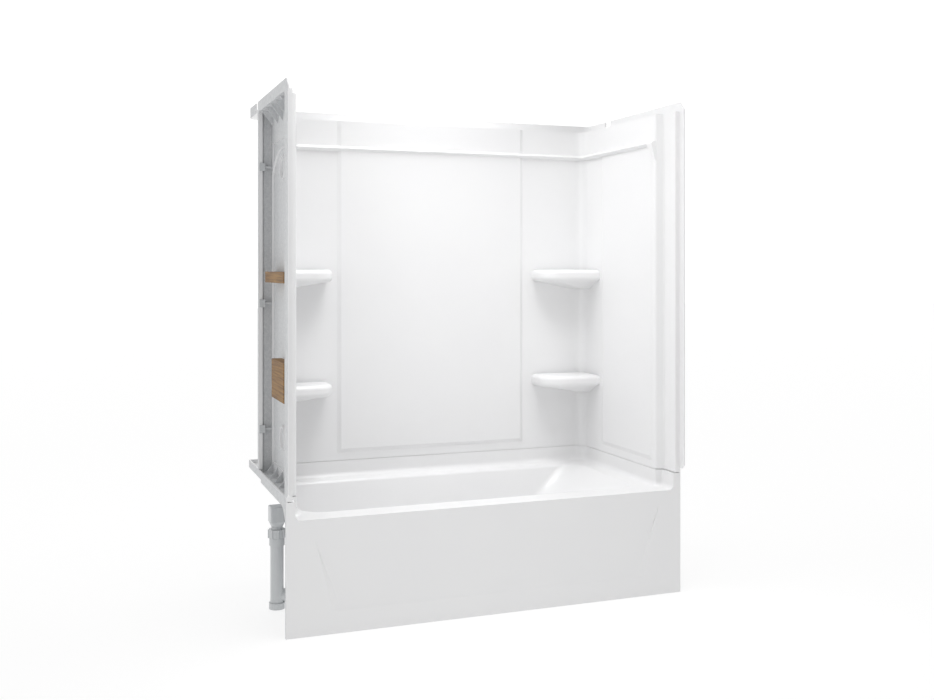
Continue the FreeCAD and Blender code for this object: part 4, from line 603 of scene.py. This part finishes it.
class TUB_OT_boards(bpy.types.Operator):
    """Saws the backing boards"""
    bl_idname = "tub.boards"
    bl_label = "Backing boards"

    def execute(self, context):
        look = context.scene.tub_timber
        grain_along = {axis: planed_pine(look, axis) for axis in "xy"}
        rows = (
            ("left_upper_board", "y"),
            ("left_lower_board", "y"),
            ("right_upper_board", "y"),
            ("right_lower_board", "y"),
            ("back_board", "x"),
        )
        for node_name, along in rows:
            add_bar(node_name + "_timber", node_name, along, grain_along[along],
                    look.edge_round)
        return {"FINISHED"}


class TUB_OT_foam(bpy.types.Operator):
    """Lays the foam block under the basin"""
    bl_idname = "tub.foam"
    bl_label = "Foam support"

    def execute(self, context):
        look = context.scene.tub_foam
        piece = add_bar("foam_block", "foam_support", "x", bead_foam(look), look.edge_round)
        return {"FINISHED"}


class TUB_OT_fittings(bpy.types.Operator):
    """Dresses the waste pipe, its seals, the metal trim and the seam clips"""
    bl_idname = "tub.fittings"
    bl_label = "Waste, trim and clips"

    def execute(self, context):
        look = context.scene.tub_fitting
        pipe = moulded_pipe(look)
        rubber = seal_rubber(look)
        chrome = polished_chrome(look)
        brass = turned_brass(look)
        clip = moulded_clip(look)
        groups = (
            ("unit", "pipe_grey", pipe, ("outlet_collar", "standpipe_tee", "overflow_adapter",
                                         "overflow_nut", "overflow_elbow", "branch_nut", "waste_shoe")),
            ("unit", "seal_rubber", rubber, ("overflow_seal", "overflow_gasket", "branch_seal",
                                             "drain_gasket")),
            ("unit", "chrome", chrome, ("overflow_plate", "plate_screws", "drain_flange", "strainer",
                                        "strainer_screw")),
            ("unit", "clip_plastic", clip, ("left_seam_clips", "right_seam_clips")),
            ("lever", "chrome", chrome, ("trip_lever",)),
            ("unit", "brass", brass, ("lever_pin",)),
            ("stopper", "brass", brass, ("linkage_yoke", "linkage_nuts", "linkage_rod", "plunger")),
        )
        for body, slot, material, names in groups:
            for node_name in names:
                add_fitting(node_name, body, material, look.edge_round)
        return {"FINISHED"}


class TUB_OT_studio(bpy.types.Operator):
    """Sets the floor, the lights and the camera"""
    bl_idname = "tub.studio"
    bl_label = "Studio"

    def execute(self, context):
        studio = context.scene.tub_studio
        scene = context.scene
        scene.view_settings.view_transform = "Standard"
        add_floor(studio)
        add_world(studio)
        powers = (studio.near_power, studio.top_power, studio.side_power)
        for soft_box, power in zip(SOFT_BOXES, powers):
            add_soft_box(*soft_box, power)
        add_camera(scene)
        return {"FINISHED"}


def add_floor(studio):
    """A flat square of lit sheet at floor level."""
    half = studio.floor_side / 2
    mesh = bpy.data.meshes.new("studio_floor")
    corners = [(-half, -half, 0.0), (half, -half, 0.0), (half, half, 0.0), (-half, half, 0.0)]
    mesh.from_pydata(corners, [], [(0, 1, 2, 3)])
    mesh.materials.append(opal_floor(studio))
    floor = bpy.data.objects.new("studio_floor", mesh)
    bpy.context.scene.collection.objects.link(floor)


def add_world(studio):
    """White surroundings: bright behind the unit, dim before it at eye level, even overhead."""
    world = bpy.data.worlds.new("white_studio")
    bpy.context.scene.world = world
    world.use_nodes = True
    tree = world.node_tree
    tree.nodes.clear()
    direction = node(tree, "SeparateXYZ", {"Vector": node(tree, "TexCoord").outputs["Generated"]})
    level = node(tree, "MapRange", {"Value": direction.outputs["Y"], "From Min": 0.0, "From Max": 0.6,
                                    "To Min": studio.room, "To Max": studio.backdrop},
                 interpolation_type="SMOOTHSTEP")
    strength = node(tree, "MapRange", {"Value": direction.outputs["Z"], "From Min": 0.32, "From Max": 0.6,
                                       "To Min": level.outputs["Result"], "To Max": studio.ceiling},
                    interpolation_type="SMOOTHSTEP")
    background = node(tree, "Background", {"Color": (1.0, 1.0, 1.0, 1.0),
                                           "Strength": strength.outputs["Result"]})
    node(tree, "OutputWorld", {"Surface": background.outputs["Background"]})


def add_soft_box(name, place, target, sides, spread, power):
    """A rectangular soft light that faces its target, with a grid that narrows its spread."""
    light = bpy.data.lights.new(name, "AREA")
    light.spread = math.radians(spread)
    light.shape = "RECTANGLE"
    light.size, light.size_y = sides
    light.energy = power
    lamp = bpy.data.objects.new(name, light)
    bpy.context.scene.collection.objects.link(lamp)
    lamp.location = place
    lamp.rotation_euler = (Vector(target) - Vector(place)).to_track_quat("-Z", "Y").to_euler()


def add_camera(scene):
    """The photograph's camera: level, turned a little to the right of the back wall's normal."""
    data = bpy.data.cameras.new("photo_camera")
    camera = bpy.data.objects.new("photo_camera", data)
    scene.collection.objects.link(camera)
    camera.location = CAMERA_PLACE
    camera.rotation_euler = (math.radians(90), 0.0, -math.radians(CAMERA_TURN))
    data.lens = FOCAL_LENGTH / PHOTO_WIDTH * data.sensor_width
    data.shift_x = (HALF_FRAME[0] - OPTICAL_CENTRE[0]) / PHOTO_WIDTH
    data.shift_y = (OPTICAL_CENTRE[1] - HALF_FRAME[1]) / PHOTO_WIDTH
    scene.camera = camera


class TUB_PT_panel(bpy.types.Panel):
    """Lists the steps that dress the unit"""
    bl_idname = "TUB_PT_panel"
    bl_label = "Tub and shower unit"
    bl_space_type = "VIEW_3D"
    bl_region_type = "UI"
    bl_category = "Tub"

    def draw(self, context):
        for step in STEPS:
            self.layout.operator(step.bl_idname)


STEPS = (TUB_OT_studio, TUB_OT_mouldings, TUB_OT_boards, TUB_OT_foam, TUB_OT_fittings)
LOOKS = {
    "tub_moulding": TubMouldingLook,
    "tub_timber": TubTimberLook,
    "tub_foam": TubFoamLook,
    "tub_fitting": TubFittingLook,
    "tub_studio": TubStudioLook,
}


def register():
    """Registers the settings, the steps and the panel."""
    for name, look in LOOKS.items():
        bpy.utils.register_class(look)
        setattr(bpy.types.Scene, name, PointerProperty(type=look))
    for step in STEPS:
        bpy.utils.register_class(step)
    bpy.utils.register_class(TUB_PT_panel)


def unregister():
    """Takes away what register added."""
    bpy.utils.unregister_class(TUB_PT_panel)
    for step in reversed(STEPS):
        bpy.utils.unregister_class(step)
    for name, look in reversed(LOOKS.items()):
        delattr(bpy.types.Scene, name)
        bpy.utils.unregister_class(look)


def main():
    """Runs every step."""
    register()
    bpy.ops.tub.studio()
    bpy.ops.tub.mouldings()
    bpy.ops.tub.boards()
    bpy.ops.tub.foam()
    bpy.ops.tub.fittings()


if __name__ == "__main__":
    main()
